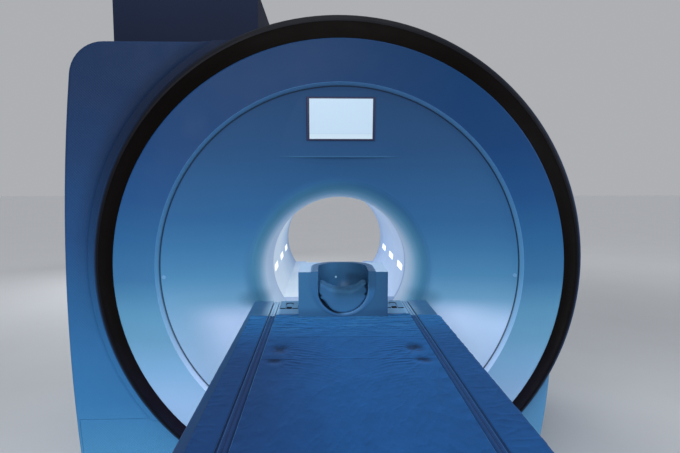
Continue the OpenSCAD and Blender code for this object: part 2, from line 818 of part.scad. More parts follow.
// One sleeve of the lift column: a tube with round corners, each nested in the one below
module column_sleeve(step, z0, top) {
    shrink = step * (sleeve_wall + sleeve_clear);
    w = column_w - 2 * shrink;
    l = column_l - 2 * shrink;
    r = sleeve_corner - shrink;
    translate([0, -column_f, z0]) linear_extrude(top - z0) difference() {
        round_rect(w, l, r);
        round_rect(w - 2 * sleeve_wall, l - 2 * sleeve_wall, r - sleeve_wall);
    }
}

// Rectangle with round corners made of true arcs
module round_rect(w, l, r) {
    square([w - 2 * r, l], center = true);
    square([w, l - 2 * r], center = true);
    for (x = [-1, 1], y = [-1, 1]) translate([x * (w / 2 - r), y * (l / 2 - r)]) circle(r = r, $fn = small_fn);
}

module lower_sleeve() color("whitesmoke") column_sleeve(0, plate_t, plate_t + sleeve_h);
module middle_sleeve() color("gainsboro")
    column_sleeve(1, plate_t + sleeve_h - sleeve_lap, plate_t + 2 * sleeve_h - sleeve_lap);
module upper_sleeve() color("whitesmoke") column_sleeve(2, frame_z - sleeve_h, frame_z);

// Lift screw on its foot
module lift_screw() color("silver") translate([0, -column_f, plate_t]) {
    cylinder(r = screw_d, h = screw_foot, $fn = small_fn);
    cylinder(d = screw_d, h = screw_top - plate_t, $fn = small_fn);
}

// Tube with the nut that climbs the screw
module lift_tube() color("silver") translate([0, -column_f, screw_top - nut_lap]) difference() {
    tube = frame_z - screw_top + nut_lap;
    cylinder(d = screw_d + 2 * nut_wall, h = tube, $fn = small_fn);
    translate([0, 0, -cut]) cylinder(r = screw_d / 2 + seat, h = tube + 2 * cut, $fn = small_fn);
}

// Deck and longitudinal beams that carry the table top
module table_frame() color("silver") {
    f0 = board_far_f + frame_end;
    f1 = board_near_f - frame_end;
    half = beam_w / 2;
    block([-table_w / 2 + frame_side, table_w / 2 - frame_side], [f0, f1], [deck_z - deck_t, deck_z]);
    for (x = [-beam_x, beam_x])
        block([x - half, x + half], [f0 + beam_w, f1 - beam_w], [frame_z, deck_z - deck_t]);
    for (f = [f0 + 2 * beam_w, column_f - column_l / 4, column_f, column_f + column_l / 4, f1 - 2 * beam_w])
        block([-beam_x, beam_x], [f - half, f + half], [frame_z, deck_z - deck_t]);
}

// Moulded lower fairing of the table, a trough with closed ends
module table_fairing() color("whitesmoke") {
    f0 = board_far_f + fairing_end;
    f1 = board_near_f - fairing_end;
    top = deck_z - deck_t - seat;
    difference() {
        slab(f0, f1) fairing_outline(0, top);
        slab(f0 + fairing_wall, f1 - fairing_wall) fairing_outline(fairing_wall, top + cut);
        translate([0, -column_f, 0]) linear_extrude(deck_z)
            round_rect(column_w - 2 * sleeve_wall, column_l - 2 * sleeve_wall, sleeve_corner - sleeve_wall);
    }
}
// Section of the fairing: the lower half of a rounded trough
module fairing_outline(inset, top) {
    half = table_w / 2 - fairing_side - inset;
    depth = top - frame_z + fairing_drop - inset;
    polygon(concat([[-half, top]], [for (a = [180:15:360])
        [half * sign(cos(a)) * pow(abs(cos(a)), 0.75), top - depth * pow(abs(sin(a)), 0.75)]]));
}

// Side board with a rounded outer edge
module board(side) {
    x0 = board_in;
    x1 = table_w / 2;
    h = board_top - deck_z;
    r = board_round;
    slab(board_far_f, board_near_f) translate([0, deck_z]) scale([side, 1]) {
        translate([x0, 0]) square([x1 - x0 - r, h]);
        translate([x0, 0]) square([x1 - x0, h - r]);
        translate([x1 - r, h - r]) circle(r = r, $fn = small_fn);
    }
}
module left_board() color("lightsteelblue") mirror([1, 0, 0]) board(1);
module right_board() color("lightsteelblue") board(1);

// Guide rail beside the cradle, with a shallow track along its top
module guide_rail(side) {
    x0 = side > 0 ? rail_in : -rail_in - rail_w;
    difference() {
        block([x0, x0 + rail_w], [board_far_f - rail_drop, board_near_f], [deck_z, table_top - rail_drop]);
        block([x0 + (rail_w - track_w) / 2, x0 + (rail_w + track_w) / 2], [0, far],
            [table_top - rail_drop - track_h, table_top]);
    }
}
module left_guide_rail() color("lightgray") guide_rail(-1);
module right_guide_rail() color("lightgray") guide_rail(1);

// Sheet over a side board
module board_sheet(side) {
    in = board_in + sheet_t;
    out = table_w / 2 - board_round - sheet_t;
    block(side > 0 ? [in, out] : [-out, -in], [cradle_f + sheet_start, board_near_f - board_round],
        [board_top + seat, table_top + seat]);
}
module left_board_sheet() color("steelblue") board_sheet(-1);
module right_board_sheet() color("steelblue") board_sheet(1);

// Sliding cradle: a flat tray with the pits of its two coil sockets at the head end
module cradle() color("aliceblue") difference() {
    union() {
        block([-cradle_w / 2, cradle_w / 2], [cradle_f + nose_r, cradle_end_f], [table_top - cradle_t, table_top]);
        // rounded nose at the head end
        intersection() {
            block([-cradle_w / 2, cradle_w / 2], [cradle_f, cradle_f + 2 * nose_r],
                [table_top - cradle_t, table_top]);
            translate([0, -cradle_f - nose_r, table_top - nose_r]) rotate([0, 90, 0])
                cylinder(r = nose_r, h = cradle_w, center = true, $fn = small_fn);
        }
    }
    // tray of the mattress
    block([-cradle_w / 2 + tray_border, cradle_w / 2 - tray_border], [tray_f, cradle_end_f - tray_end],
        [table_top - mattress_t, table_top + cut]);
    for (s = [-1, 1]) {
        x0 = s * socket_x - socket_w / 2;
        block([x0, x0 + socket_w], [hinge_f - hinge_room, hinge_f + socket_len],
            [table_top - socket_depth, table_top + cut]);
        translate([s * socket_x, -hinge_f, hinge_z]) rotate([0, 90, 0])
            cylinder(r = hinge_r + pin_clear, h = socket_w + 2 * hinge_lap + 2, center = true, $fn = small_fn);
    }
    // slot and pivot holes of the release handle
    block([-handle_w / 2 - 3, handle_w / 2 + 3], [handle_f - handle_slot, cradle_end_f + cut],
        [table_top - cradle_t - cut, table_top + cut]);
    translate([0, -handle_f, handle_z]) rotate([0, 90, 0])
        cylinder(r = handle_pin_r + pin_clear, h = handle_w + 2 * handle_pin_lap + 2, center = true, $fn = small_fn);
}

// Low-friction runners under the cradle
module cradle_runners() color("dimgray") for (s = [-1, 1]) {
    x0 = s * (cradle_w / 2 - runner_in) - runner_w / 2;
    block([x0, x0 + runner_w], [cradle_f + nose_r, cradle_end_f - tray_end], [deck_z + seat, table_top - cradle_t]);
}

// Coil sockets in the two pits, two plugs' places in each
module coil_sockets() color([0.1, 0.1, 0.12]) for (s = [-1, 1]) {
    floor_z = table_top - socket_depth;
    translate([s * socket_x, -hinge_f - socket_start - socket_block[1] / 2, floor_z]) difference() {
        translate([0, 0, socket_block[2] / 2]) cube(socket_block, center = true);
        for (y = [-plug_pitch / 2, plug_pitch / 2])
            translate([0, y, socket_block[2]]) cube([plug_hole[0], plug_hole[1], 2 * plug_hole[2]], center = true);
    }
}

// Lid over a socket pit: hinge barrel at the head end, half-round finger pull at the other
module socket_lid(side) {
    w = socket_w - 2 * lid_gap;
    near = hinge_f + socket_len - finger_gap;
    translate([side * socket_x, 0, 0]) difference() {
        union() {
            block([-w / 2, w / 2], [hinge_f, near], [table_top - lid_t, table_top]);
            translate([0, -hinge_f, hinge_z]) rotate([0, 90, 0]) {
                cylinder(r = barrel_r, h = w, center = true, $fn = small_fn);
                cylinder(r = hinge_r, h = socket_w + 2 * hinge_lap, center = true, $fn = small_fn);
            }
        }
        // long scoop with a round end, and a hole for the finger at the lid's near edge
        translate([0, -near + pull_len - pull_r, table_top - lid_t + pull_floor])
            cylinder(r = pull_r, h = lid_t, $fn = small_fn);
        block([-pull_r, pull_r], [near - pull_len + pull_r, near + cut], [table_top - lid_t + pull_floor, far]);
        block([-hole_half, hole_half], [near - pull_hole, near + cut], [0, far]);
    }
}
module left_socket_lid() color("aliceblue") socket_lid(-1);
module right_socket_lid() color("aliceblue") socket_lid(1);

// Thin mattress in the cradle's tray
module mattress() color("midnightblue")
    block([-cradle_w / 2 + tray_border + seat, cradle_w / 2 - tray_border - seat],
        [tray_f + seat, cradle_end_f - tray_end - seat], [table_top - mattress_t + seat, table_top]);

// Sheet over the cradle
module cradle_sheet() color("steelblue")
    difference() {
        block([-cradle_w / 2 + sheet_t, cradle_w / 2 - sheet_t],
            [cradle_f + sheet_start, cradle_end_f - tray_end + sheet_t], [coil_z, coil_z + sheet_t]);
        // notch round the foot of the head coil
        block([-coil_w / 2 - sheet_t, coil_w / 2 + sheet_t], [0, coil_f + coil_len + sheet_t], [0, far]);
    }

// Space inside the coil's bowl: a trough with a round closed end, grown by a wall
module bowl_space(grow, up) {
    r = bowl_r + grow;
    translate([0, -bowl_f, bowl_z]) {
        sphere(r = r, $fn = bowl_fn);
        rotate([90, 0, 0]) cylinder(r = r, h = coil_len, $fn = bowl_fn);
        cylinder(r = r, h = up, $fn = bowl_fn);
    }
    block([-r, r], [bowl_f, bowl_f + coil_len], [bowl_z, bowl_z + up]);
}

// Base block of the head coil
module head_coil_base() color("lightsteelblue") difference() {
    block([-coil_w / 2, coil_w / 2], [coil_f, coil_front], [coil_z, coil_top]);
    bowl_space(bowl_wall + seat, 2 * coil_h);
}

// Section of the rounded edge where the bowl turns into its front brim, radius by depth
module edge_section() polygon(concat(
    [[0, cut], [0, -bowl_edge]],
    [for (a = [0:15:90]) [bowl_r + bowl_edge * (1 - cos(a)), bowl_edge * (sin(a) - 1)]],
    [[bowl_r + bowl_edge, cut]]));

// Rounded mouth of the bowl: half a turn under its axis and straight up above it
module mouth_round() translate([0, -coil_front - bowl_lip, bowl_z]) rotate([90, 0, 0]) {
    rotate_extrude($fn = bowl_fn) edge_section();
    for (m = [0, 1]) mirror([m, 0, 0]) rotate([-90, 0, 0]) linear_extrude(2 * coil_h) edge_section();
}

// Glossy bowl that lines the base block, with a flat brim on the block's top and on its front
module head_coil_bowl() color("aliceblue") difference() {
    brim_top = coil_top + seat + bowl_lip;
    union() {
        intersection() {
            bowl_space(bowl_wall, 2 * coil_h);
            block([-coil_w / 2, coil_w / 2], [coil_f, coil_front + bowl_lip], [coil_z, brim_top]);
        }
        // brim on top: round behind the bowl and straight along its sides
        intersection() {
            union() {
                translate([0, -bowl_f, coil_top + seat]) cylinder(r = brim_r, h = bowl_lip, $fn = bowl_fn);
                block([-brim_r, brim_r], [bowl_f, coil_front + bowl_lip], [coil_top + seat, brim_top]);
            }
            block([-coil_w / 2, coil_w / 2], [coil_f, far], [coil_z, far]);
        }
        // brim on the front
        intersection() {
            translate([0, -coil_front, brim_z]) rotate([90, 0, 0])
                cylinder(r = brim_r, h = bowl_lip, $fn = bowl_fn);
            block([-brim_r, brim_r], [coil_front, coil_front + bowl_lip], [coil_z, brim_z]);
        }
        block([-brim_r, brim_r], [coil_front, coil_front + bowl_lip], [brim_z, brim_top]);
    }
    bowl_space(0, 3 * coil_h);
    mouth_round();
}

// Cushion that lies in the bowl: a flat part under the head and a saddled roll under the neck
module head_pad() color("slategray") intersection() {
    near = coil_front - pad_end;
    bowl_space(-seat, coil_h);
    difference() {
        union() {
            block([-coil_w / 2, coil_w / 2], [coil_f + pad_start, near], [coil_z, coil_z + pad_h]);
            block([-coil_w / 2, coil_w / 2], [near - neck_len, near], [coil_z, coil_z + ear_h]);
        }
        translate([0, 0, table_top + neck_h + neck_r]) rotate([90, 0, 0])
            cylinder(r = neck_r, h = 2 * near, $fn = bowl_fn);
    }
}

// Handle at the foot end that frees the cradle by hand
module release_handle() color("dimgray") {
    end_f = handle_f + handle_reach;
    translate([0, -handle_f, handle_z]) rotate([0, 90, 0])
        cylinder(r = handle_pin_r, h = handle_w + 2 * handle_pin_lap, center = true, $fn = small_fn);
    for (s = [-1, 1]) translate([s * (handle_w / 2 - handle_r), -handle_f, handle_z])
        rotate([90, 0, 0]) cylinder(r = handle_r, h = end_f - handle_f, $fn = small_fn);
    translate([0, -end_f, handle_z]) rotate([0, 90, 0])
        cylinder(r = handle_r, h = handle_w, center = true, $fn = small_fn);
}

floor_frame();
magnet_feet();
magnet_vessel();
helium_vessel();
gradient_coil();
rf_body_coil();
bore_liner();
bore_lights();
left_bore_rail();
right_bore_rail();
front_shell();
trim_ring();
front_disc();
funnel_panel();
display_bezel();
display_glass();
panel_caps();
tower_cover();
lower_left_panel();
lower_right_cover();
left_side_cover();
right_side_cover();
rear_cover();
rear_funnel();
cold_head();
vent_shroud();
table_floor_plate();
lower_sleeve();
lift_screw();
middle_sleeve();
upper_sleeve();
lift_tube();
table_frame();
table_fairing();
left_board();
right_board();
left_guide_rail();
right_guide_rail();
left_board_sheet();
right_board_sheet();
cradle();
cradle_runners();
coil_sockets();
left_socket_lid();
right_socket_lid();
mattress();
cradle_sheet();
head_coil_base();
head_coil_bowl();
head_pad();
release_handle();
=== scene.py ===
import bpy
import bmesh
import math
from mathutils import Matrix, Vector, noise
from mathutils.bvhtree import BVHTree


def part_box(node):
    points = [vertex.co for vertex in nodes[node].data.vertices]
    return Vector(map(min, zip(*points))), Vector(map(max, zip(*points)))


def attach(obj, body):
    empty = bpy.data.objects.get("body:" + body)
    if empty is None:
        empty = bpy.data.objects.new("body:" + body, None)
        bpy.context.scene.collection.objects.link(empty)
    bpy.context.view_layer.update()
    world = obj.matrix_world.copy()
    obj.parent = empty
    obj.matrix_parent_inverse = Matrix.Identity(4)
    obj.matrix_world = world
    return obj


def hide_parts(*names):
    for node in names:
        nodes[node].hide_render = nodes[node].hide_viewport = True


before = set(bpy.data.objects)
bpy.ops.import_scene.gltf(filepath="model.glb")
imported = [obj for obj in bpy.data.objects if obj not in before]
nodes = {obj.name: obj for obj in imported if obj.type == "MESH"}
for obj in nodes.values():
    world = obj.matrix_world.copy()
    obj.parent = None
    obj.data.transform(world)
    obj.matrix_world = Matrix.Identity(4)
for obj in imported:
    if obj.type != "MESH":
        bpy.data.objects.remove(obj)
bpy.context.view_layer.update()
scene = bpy.context.scene


# Camera: a 28 mm lens at standing height, a little left of the bore's axis and tilted slightly down. Its
# place and angles come from the vanishing point of the table's edges and from the circles of the front.
def add(name, mesh):
    piece = bpy.data.objects.new(name, mesh)
    scene.collection.objects.link(piece)
    return piece


lens = bpy.data.cameras.new("photo_camera")
lens.lens = 28.0
lens.sensor_width = 36.0
lens.sensor_fit = "HORIZONTAL"
lens.clip_end = 60.0
tilt_down, turn_right = math.radians(5.367), math.radians(1.779)
camera = add("photo_camera", lens)
camera.location = (-0.082, -3.382, 1.554)
camera.rotation_euler = (math.pi / 2 - tilt_down, 0, -turn_right)
scene.camera = camera


# Moulded covers: the tower, the side and rear covers, the skirt and the vent's shroud, moulded from
# fine-grained plastic and hung on the floor frame. Their blue is painted light: deep blue at the top and
# lighter towards the floor, and the skirt is painted lighter where it faces the front. The tower has
# painted shade beside the drum's lip, and its front has a fine grid of raised dots.
def rgb(r, g, b):
    """A display colour, 0 to 255, as the linear colour that shows it."""
    linear = [c / 3294.6 if c <= 10.3 else ((c / 255 + 0.055) / 1.055) ** 2.4 for c in (r, g, b)]
    return tuple(linear) + (1.0,)


class Paint:
    """A Principled material whose colour, roughness and bump come from the surface's own place."""

    def __init__(self, name, rough=0.5, spec=0.3, metal=0.0):
        self.material = bpy.data.materials.new(name)
        self.material.use_nodes = True
        self.tree = self.material.node_tree
        self.shader = self.tree.nodes["Principled BSDF"]
        for key, value in (("Roughness", rough), ("Specular IOR Level", spec), ("Metallic", metal)):
            self.shader.inputs[key].default_value = value
        self.place = self.node("ShaderNodeTexCoord").outputs["Object"]
        axes = self.node("ShaderNodeSeparateXYZ", Vector=self.place)
        self.x, self.y, self.z = axes.outputs
        self.normal = None

    def node(self, kind, props=None, **inputs):
        """A new node with its properties and inputs set; an input named _0 is the first socket."""
        n = self.tree.nodes.new(kind)
        for key, value in (props or {}).items():
            setattr(n, key, value)
        for key, value in inputs.items():
            self.put(n.inputs[int(key[1:]) if key[0] == "_" and key[1:].isdigit() else key], value)
        return n

    def put(self, socket, value):
        """Links a socket to another one, or sets its value."""
        if isinstance(value, bpy.types.NodeSocket):
            self.tree.links.new(value, socket)
        else:
            socket.default_value = value

    def math(self, op, a, b=0.0):
        return self.node("ShaderNodeMath", {"operation": op}, _0=a, _1=b).outputs[0]

    def times(self, a, b):
        return self.math("MULTIPLY", a, b)

    def span(self, value, ends, kind="LINEAR"):
        """Stretches a value that lies between the first two ends to lie between the last two."""
        n = self.node("ShaderNodeMapRange", {"interpolation_type": kind}, Value=value)
        for key, end in zip(("From Min", "From Max", "To Min", "To Max"), ends):
            n.inputs[key].default_value = end
        return n.outputs[0]

    def fade(self, value, low, high, kind="SMOOTHSTEP"):
        """0 at low and below, 1 at high and above; low may be the larger."""
        return self.span(value, ((low, high, 0.0, 1.0), (high, low, 1.0, 0.0))[low > high], kind)

    def ramp(self, value, stops):
        """A colour that follows value through stops of (value, display colour)."""
        low, high = stops[0][0], stops[-1][0]
        n = self.node("ShaderNodeValToRGB", Fac=self.fade(value, low, high, "LINEAR"))
        band = n.color_ramp
        while len(band.elements) < len(stops):
            band.elements.new(0.5)
        for element, (at, colour) in zip(band.elements, stops):
            element.position = (at - low) / (high - low)
            element.color = rgb(*colour)
        return n.outputs[0]

    def mix(self, share, a, b):
        """Colour a where share is 0, and colour b where it is 1."""
        n = self.node("ShaderNodeMix", {"data_type": "RGBA"})
        for socket, value in ((n.inputs[0], share), (n.inputs[6], a), (n.inputs[7], b)):
            self.put(socket, value)
        return n.outputs[2]

    def noise(self, scale, detail, stretch=(1, 1, 1), rough=0.55):
        at = self.node("ShaderNodeVectorMath", {"operation": "MULTIPLY"}, _0=self.place, _1=stretch)
        inputs = {"Vector": at.outputs[0], "Scale": scale, "Detail": detail, "Roughness": rough}
        return self.node("ShaderNodeTexNoise", **inputs).outputs[0]

    def far(self, a, b):
        """Distance from a place that lies a and b away along two directions."""
        return self.math("SQRT", self.math("ADD", self.times(a, a), self.times(b, b)))

    def radius(self, centre):
        """Distance from a line along Y through centre (x, z)."""
        return self.far(self.math("SUBTRACT", self.x, centre[0]), self.math("SUBTRACT", self.z, centre[1]))

    def facing(self, axis, low, high):
        """How far the surface faces along an axis, 0 at low and 1 at high."""
        normal = self.node("ShaderNodeNewGeometry").outputs["Normal"]
        parts = self.node("ShaderNodeSeparateXYZ", Vector=normal)
        return self.fade(parts.outputs["XYZ".index(axis)], low, high)

    def uneven(self, scale, low, high):
        """A value between low and high that wanders over the surface."""
        return self.span(self.noise(scale, 4.0), (0.3, 0.7, low, high))

    def scaled(self, colour, factor):
        """The colour, made lighter or darker by a factor."""
        plain = colour if isinstance(colour, bpy.types.NodeSocket) else colour[:3]
        n = self.node("ShaderNodeVectorMath", {"operation": "SCALE"}, _0=plain)
        self.put(n.inputs["Scale"], factor)
        return n.outputs[0]

    def mottle(self, colour, scale, amount):
        """Slight unevenness of a colour, lighter and darker."""
        return self.scaled(colour, self.uneven(scale, 1 - amount, 1 + amount))

    def bump(self, height, strength, distance):
        """Fine relief, on top of the relief that the surface has already."""
        inputs = {"Height": height, "Strength": strength, "Distance": distance}
        if self.normal is not None:
            inputs["Normal"] = self.normal
        self.normal = self.node("ShaderNodeBump", **inputs).outputs[0]

    def grain(self, scale, strength, distance):
        """The fine grain of a moulded or coated surface."""
        self.bump(self.noise(scale, 2.0), strength, distance)

    def rough(self, low, high, scale=9.0):
        """Roughness that wanders between low and high."""
        self.put(self.shader.inputs["Roughness"], self.uneven(scale, low, high))

    def glow(self, colour, strength):
        """Light that comes from the surface itself, or that the bore's lamps leave on it."""
        self.put(self.shader.inputs["Emission Color"], colour)
        self.put(self.shader.inputs["Emission Strength"], strength)

    def done(self, colour):
        self.put(self.shader.inputs["Base Color"], colour)
        if self.normal is not None:
            self.put(self.shader.inputs["Normal"], self.normal)
        return self.material


def finish_of(material, *names):
    """Gives a material to CAD nodes and to new pieces by their names."""
    for name in names:
        piece = nodes[name] if name in nodes else bpy.data.objects[name]
        piece.data.materials.clear()
        piece.data.materials.append(material)


face_centre = (0, 1.12)
shade_out, shade_in, shade_low, shade_high = 1.330, 1.205, 0.60, 2.00
dot_pitch, dot_high = 0.0135, 0.0012
cover_grain = 420


def cover_paint(name, tower=False, paler=0.0):
    p = Paint(name, rough=0.55, spec=0.08)
    colour = p.ramp(p.z, [(0.15, (78, 144, 192)), (0.42, (58, 122, 176)), (0.66, (52, 112, 165)),
                          (0.95, (44, 95, 145)), (1.25, (35, 73, 120)), (1.65, (27, 54, 92)),
                          (1.95, (24, 45, 78)), (2.30, (23, 42, 72))])
    # Painted light: the skirt's faces turned to the front are made paler.
    if paler:
        colour = p.mix(p.times(p.facing("Y", -0.2, -0.9), paler), colour, rgb(118, 172, 212))
    # Painted shade on the tower beside the drum's lip, in its upper part.
    if tower:
        shade_by_drum = p.fade(p.radius(face_centre), shade_out, shade_in)
        shade_by_drum = p.times(shade_by_drum, p.fade(p.z, shade_low, shade_high))
        colour = p.mix(p.times(shade_by_drum, 0.80), colour, rgb(12, 20, 38))
    colour = p.mottle(colour, 2.2, 0.05)
    if tower:
        u = p.math("SINE", p.times(p.x, 2 * math.pi / dot_pitch))
        v = p.math("SINE", p.times(p.z, 2 * math.pi / dot_pitch))
        dots = p.times(p.times(u, v), p.facing("Y", -0.85, -0.97))
        p.bump(dots, 0.25, dot_high)
        colour = p.mix(p.times(p.fade(dots, 0.1, 0.9), 0.10), colour, rgb(20, 32, 62))
    p.grain(cover_grain, 0.12, 0.0006)
    p.rough(0.48, 0.62)
    return p.done(colour)


finish_of(cover_paint("tower_paint", tower=True), "tower_cover", "lower_left_panel")
finish_of(cover_paint("cover_paint"), "left_side_cover", "right_side_cover", "rear_cover")
finish_of(cover_paint("skirt_paint", paler=0.42), "lower_right_cover")

# The vent's shroud is painted nearly black for the shade it stands in, a little lighter upwards.
vent = Paint("vent_paint", rough=0.6, spec=0.06)
vent.grain(400, 0.12, 0.0006)
colour = vent.ramp(vent.z, [(2.19, (17, 22, 36)), (2.3, (19, 27, 48)), (2.54, (20, 30, 52))])
finish_of(vent.done(vent.mottle(colour, 2.0, 0.06)), "vent_shroud")

# Drum shell: the round front cover, moulded in one piece and screwed to the frame from behind. Its rounded
# lip runs round the dark ring, with painted shade where it meets it, a pale violet painted highlight along
# its outermost line at the right, and painted shade darkening it towards the top; behind, it turns to the
# covers' painted blue.
lip_out, lip_in, rim_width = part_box("front_shell")[1].x, 1.160, 0.008
rim_from, rim_full, rim_low, rim_high = 0.60, 0.95, 0.70, 1.00
back_from, back_full = -0.80, -0.62
drum = Paint("drum_paint", rough=0.5, spec=0.08)
from_centre = drum.radius(face_centre)
back = drum.fade(drum.y, back_from, back_full)
lip = drum.ramp(drum.z, [(0.1, (50, 84, 128)), (0.7, (42, 82, 130)), (1.3, (36, 66, 110)),
                         (1.9, (18, 28, 46)), (2.3, (8, 9, 14))])
# Painted highlight along the lip's outermost line at the right.
rim_highlight = drum.times(drum.fade(drum.x, rim_from, rim_full), drum.fade(drum.z, rim_low, rim_high))
outermost = drum.fade(from_centre, lip_out - rim_width, lip_out - rim_width + 0.005)
rim_highlight = drum.times(rim_highlight, outermost)
lip = drum.mix(rim_highlight, lip, rgb(98, 104, 150))
# Painted shade on the lip where it meets the dark ring.
ring_shade = drum.fade(from_centre, lip_out - 0.004, lip_in)
ring_shade = drum.times(ring_shade, drum.fade(rim_highlight, 1.0, 0.0))
lip = drum.mix(ring_shade, lip, rgb(11, 13, 20))
side_blue = drum.ramp(drum.z, [(0.1, (60, 122, 174)), (0.8, (46, 96, 146)), (1.4, (31, 60, 102)),
                               (2.3, (24, 44, 76))])
drum.grain(cover_grain, 0.1, 0.0006)
drum.rough(0.42, 0.56)
finish_of(drum.done(drum.mottle(drum.mix(back, lip, side_blue), 2.5, 0.05)), "front_shell")

# Dark ring: a conical trim of satin, near-black brown plastic, moulded and clipped in between the drum's lip
# and the white ring. It looks a little violet where it nears the floor.
ring = Paint("ring_satin", rough=0.5, spec=0.02)
ring.grain(300, 0.08, 0.0005)
ring.rough(0.40, 0.55)
colour = ring.ramp(ring.z, [(0.05, (25, 26, 50)), (0.45, (19, 16, 29)), (0.8, (11, 8, 8)), (2.2, (6, 4, 3))])
finish_of(ring.done(ring.mottle(colour, 4.0, 0.12)), "trim_ring")

# White ring: a slightly bulged moulding of white satin plastic, screwed on from behind, that stands in the
# bore's blue light. That light is painted into its colour, deep blue above and pale below, and the bevel
# along its inner edge is painted as a pale band that glows.
disc_in, bevel_width = 0.8610, 0.0020
disc = Paint("disc_satin", rough=0.42, spec=0.08)
colour = disc.ramp(disc.z, [(0.06, (160, 192, 230)), (0.50, (147, 184, 225)), (0.65, (121, 168, 208)),
                            (0.79, (99, 150, 185)), (0.93, (84, 138, 174)), (1.07, (57, 109, 152)),
                            (1.26, (42, 92, 138)), (1.45, (31, 73, 121)), (1.70, (22, 58, 102)),
                            (2.18, (15, 46, 82))])
# Painted light: the bevel's pale band, made to glow.
edge = disc.fade(disc.radius(face_centre), disc_in + bevel_width, disc_in)
bright = disc.ramp(disc.z, [(0.3, (190, 212, 245)), (0.6, (178, 204, 239)), (0.85, (128, 170, 206)),
                            (1.1, (84, 140, 184)), (1.5, (72, 122, 168)), (1.97, (70, 114, 160))])
disc.glow(bright, disc.times(edge, 0.22))
disc.grain(500, 0.06, 0.0005)
disc.rough(0.36, 0.48)
finish_of(disc.done(disc.mottle(disc.mix(edge, colour, bright), 1.6, 0.04)), "front_disc")

# Dished panel: white satin plastic, moulded in one piece that flares into the bore's mouth and is held by
# two screws under round caps. Its colour is painted light: deep blue above, bright below the table and at
# the lower right, with a glowing halo where it turns into the bore and a pale highlight along the crease
# under the display. Painted shade lies beside the table's head, and a thin dark joint runs at its rim.
facet_z, panel_rim = 1.646, 0.849
bore_centre = (0, 1.10)
# Metres at which each patch of light or shade starts, and at which it is full
lobe_top, lobe_full, lobe_out, lobe_in = 0.975, 0.85, 0.80, 0.58
corner_from, corner_full, corner_top, corner_low = 0.35, 0.62, 0.98, 0.82
halo_out, halo_full, halo_more = 0.47, 0.41, 0.010
less_above, less_at_right = 0.014, 0.016
crease_half, crease_reach = 0.006, 0.30
shade_place, shade_size, shade_flat = (0.420, 0.968), 0.060, 0.6
joint_from, joint_full = panel_rim - 0.0075, panel_rim - 0.0045
glass_low, glass_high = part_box("display_glass")
frame_middle = (glass_low + glass_high) / 2 - Vector((0.0035, 0, 0))
frame_half = (glass_high - glass_low) / 2 + Vector((0.0105, 0, 0.0080))


def away_from(p, value, middle):
    """How far a value is from its middle, to either side."""
    return p.math("ABSOLUTE", p.math("SUBTRACT", value, middle))


def panel_colour(p, from_bore):
    colour = p.ramp(p.z, [(0.25, (148, 180, 214)), (0.65, (144, 177, 211)), (0.84, (124, 165, 199)),
                          (0.98, (98, 148, 184)), (1.08, (73, 128, 168)), (1.21, (57, 111, 155)),
                          (1.35, (46, 94, 140)), (1.68, (38, 74, 114)), (1.95, (33, 64, 101))])
    # Painted light: bright below the table, then at the lower right corner.
    under_table_light = p.times(p.fade(p.z, lobe_top, lobe_full), p.fade(from_bore, lobe_out, lobe_in))
    colour = p.mix(under_table_light, colour, rgb(170, 194, 229))
    corner = p.times(p.fade(p.x, corner_from, corner_full), p.fade(p.z, corner_top, corner_low))
    colour = p.mix(p.times(corner, 0.75), colour, rgb(186, 212, 246))
    # Painted halo of the bore's light round its mouth.
    above = p.times(p.fade(p.z, 1.15, 1.42), less_above)
    right = p.times(p.fade(p.x, -0.30, 0.36), less_at_right)
    halo_at = p.math("ADD", from_bore, p.math("SUBTRACT", p.math("ADD", above, right), halo_more))
    halo = p.ramp(halo_at, [(0.358, (180, 198, 216)), (0.370, (150, 180, 202)), (0.386, (104, 152, 180)),
                            (0.408, (73, 129, 161)), (0.445, (55, 105, 146))])
    colour = p.mix(p.fade(halo_at, halo_out, halo_full), colour, halo)
    # Painted highlight along the crease under the display.
    crease = p.times(p.fade(away_from(p, p.z, facet_z), crease_half, crease_half / 3),
                     p.fade(p.math("ABSOLUTE", p.x), crease_reach, crease_reach - 0.10))
    colour = p.mix(p.times(crease, 0.35), colour, rgb(74, 128, 168))
    # Painted shade beside the table's head.
    du = p.times(p.math("SUBTRACT", p.math("ABSOLUTE", p.x), shade_place[0]), shade_flat)
    dv = p.math("SUBTRACT", p.z, shade_place[1])
    shade = p.fade(p.far(du, dv), shade_size, shade_size / 5)
    colour = p.mix(p.times(shade, 0.55), colour, rgb(60, 104, 134))
    joint = p.fade(p.radius(face_centre), joint_from, joint_full)
    colour = p.mix(p.times(joint, 0.85), colour, rgb(12, 26, 44))
    sides = ((p.x, frame_middle.x, frame_half.x), (p.z, frame_middle.z, frame_half.z))
    within = [p.fade(away_from(p, at, middle), half + 0.001, half - 0.001) for at, middle, half in sides]
    return p.mix(p.times(*within), colour, rgb(24, 27, 66))


panel = Paint("panel_satin", rough=0.42, spec=0.08)
from_bore = panel.radius(bore_centre)
colour = panel_colour(panel, from_bore)
panel.grain(500, 0.06, 0.0005)
panel.rough(0.36, 0.5)
# Painted glow of the bore's light by its mouth.
mouth_out, mouth_in = 0.42, 0.36
panel.glow(colour, panel.times(panel.fade(from_bore, mouth_out, mouth_in), 0.20))
finish_of(panel.done(panel.mottle(colour, 1.4, 0.04)), "funnel_panel")

# The caps' blue is the bore's light, painted like the panel's.
cap = Paint("cap_satin", rough=0.4, spec=0.3)
cap.grain(600, 0.1, 0.0003)
finish_of(cap.done(cap.mottle(rgb(98, 146, 188), 40, 0.05)), "panel_caps")

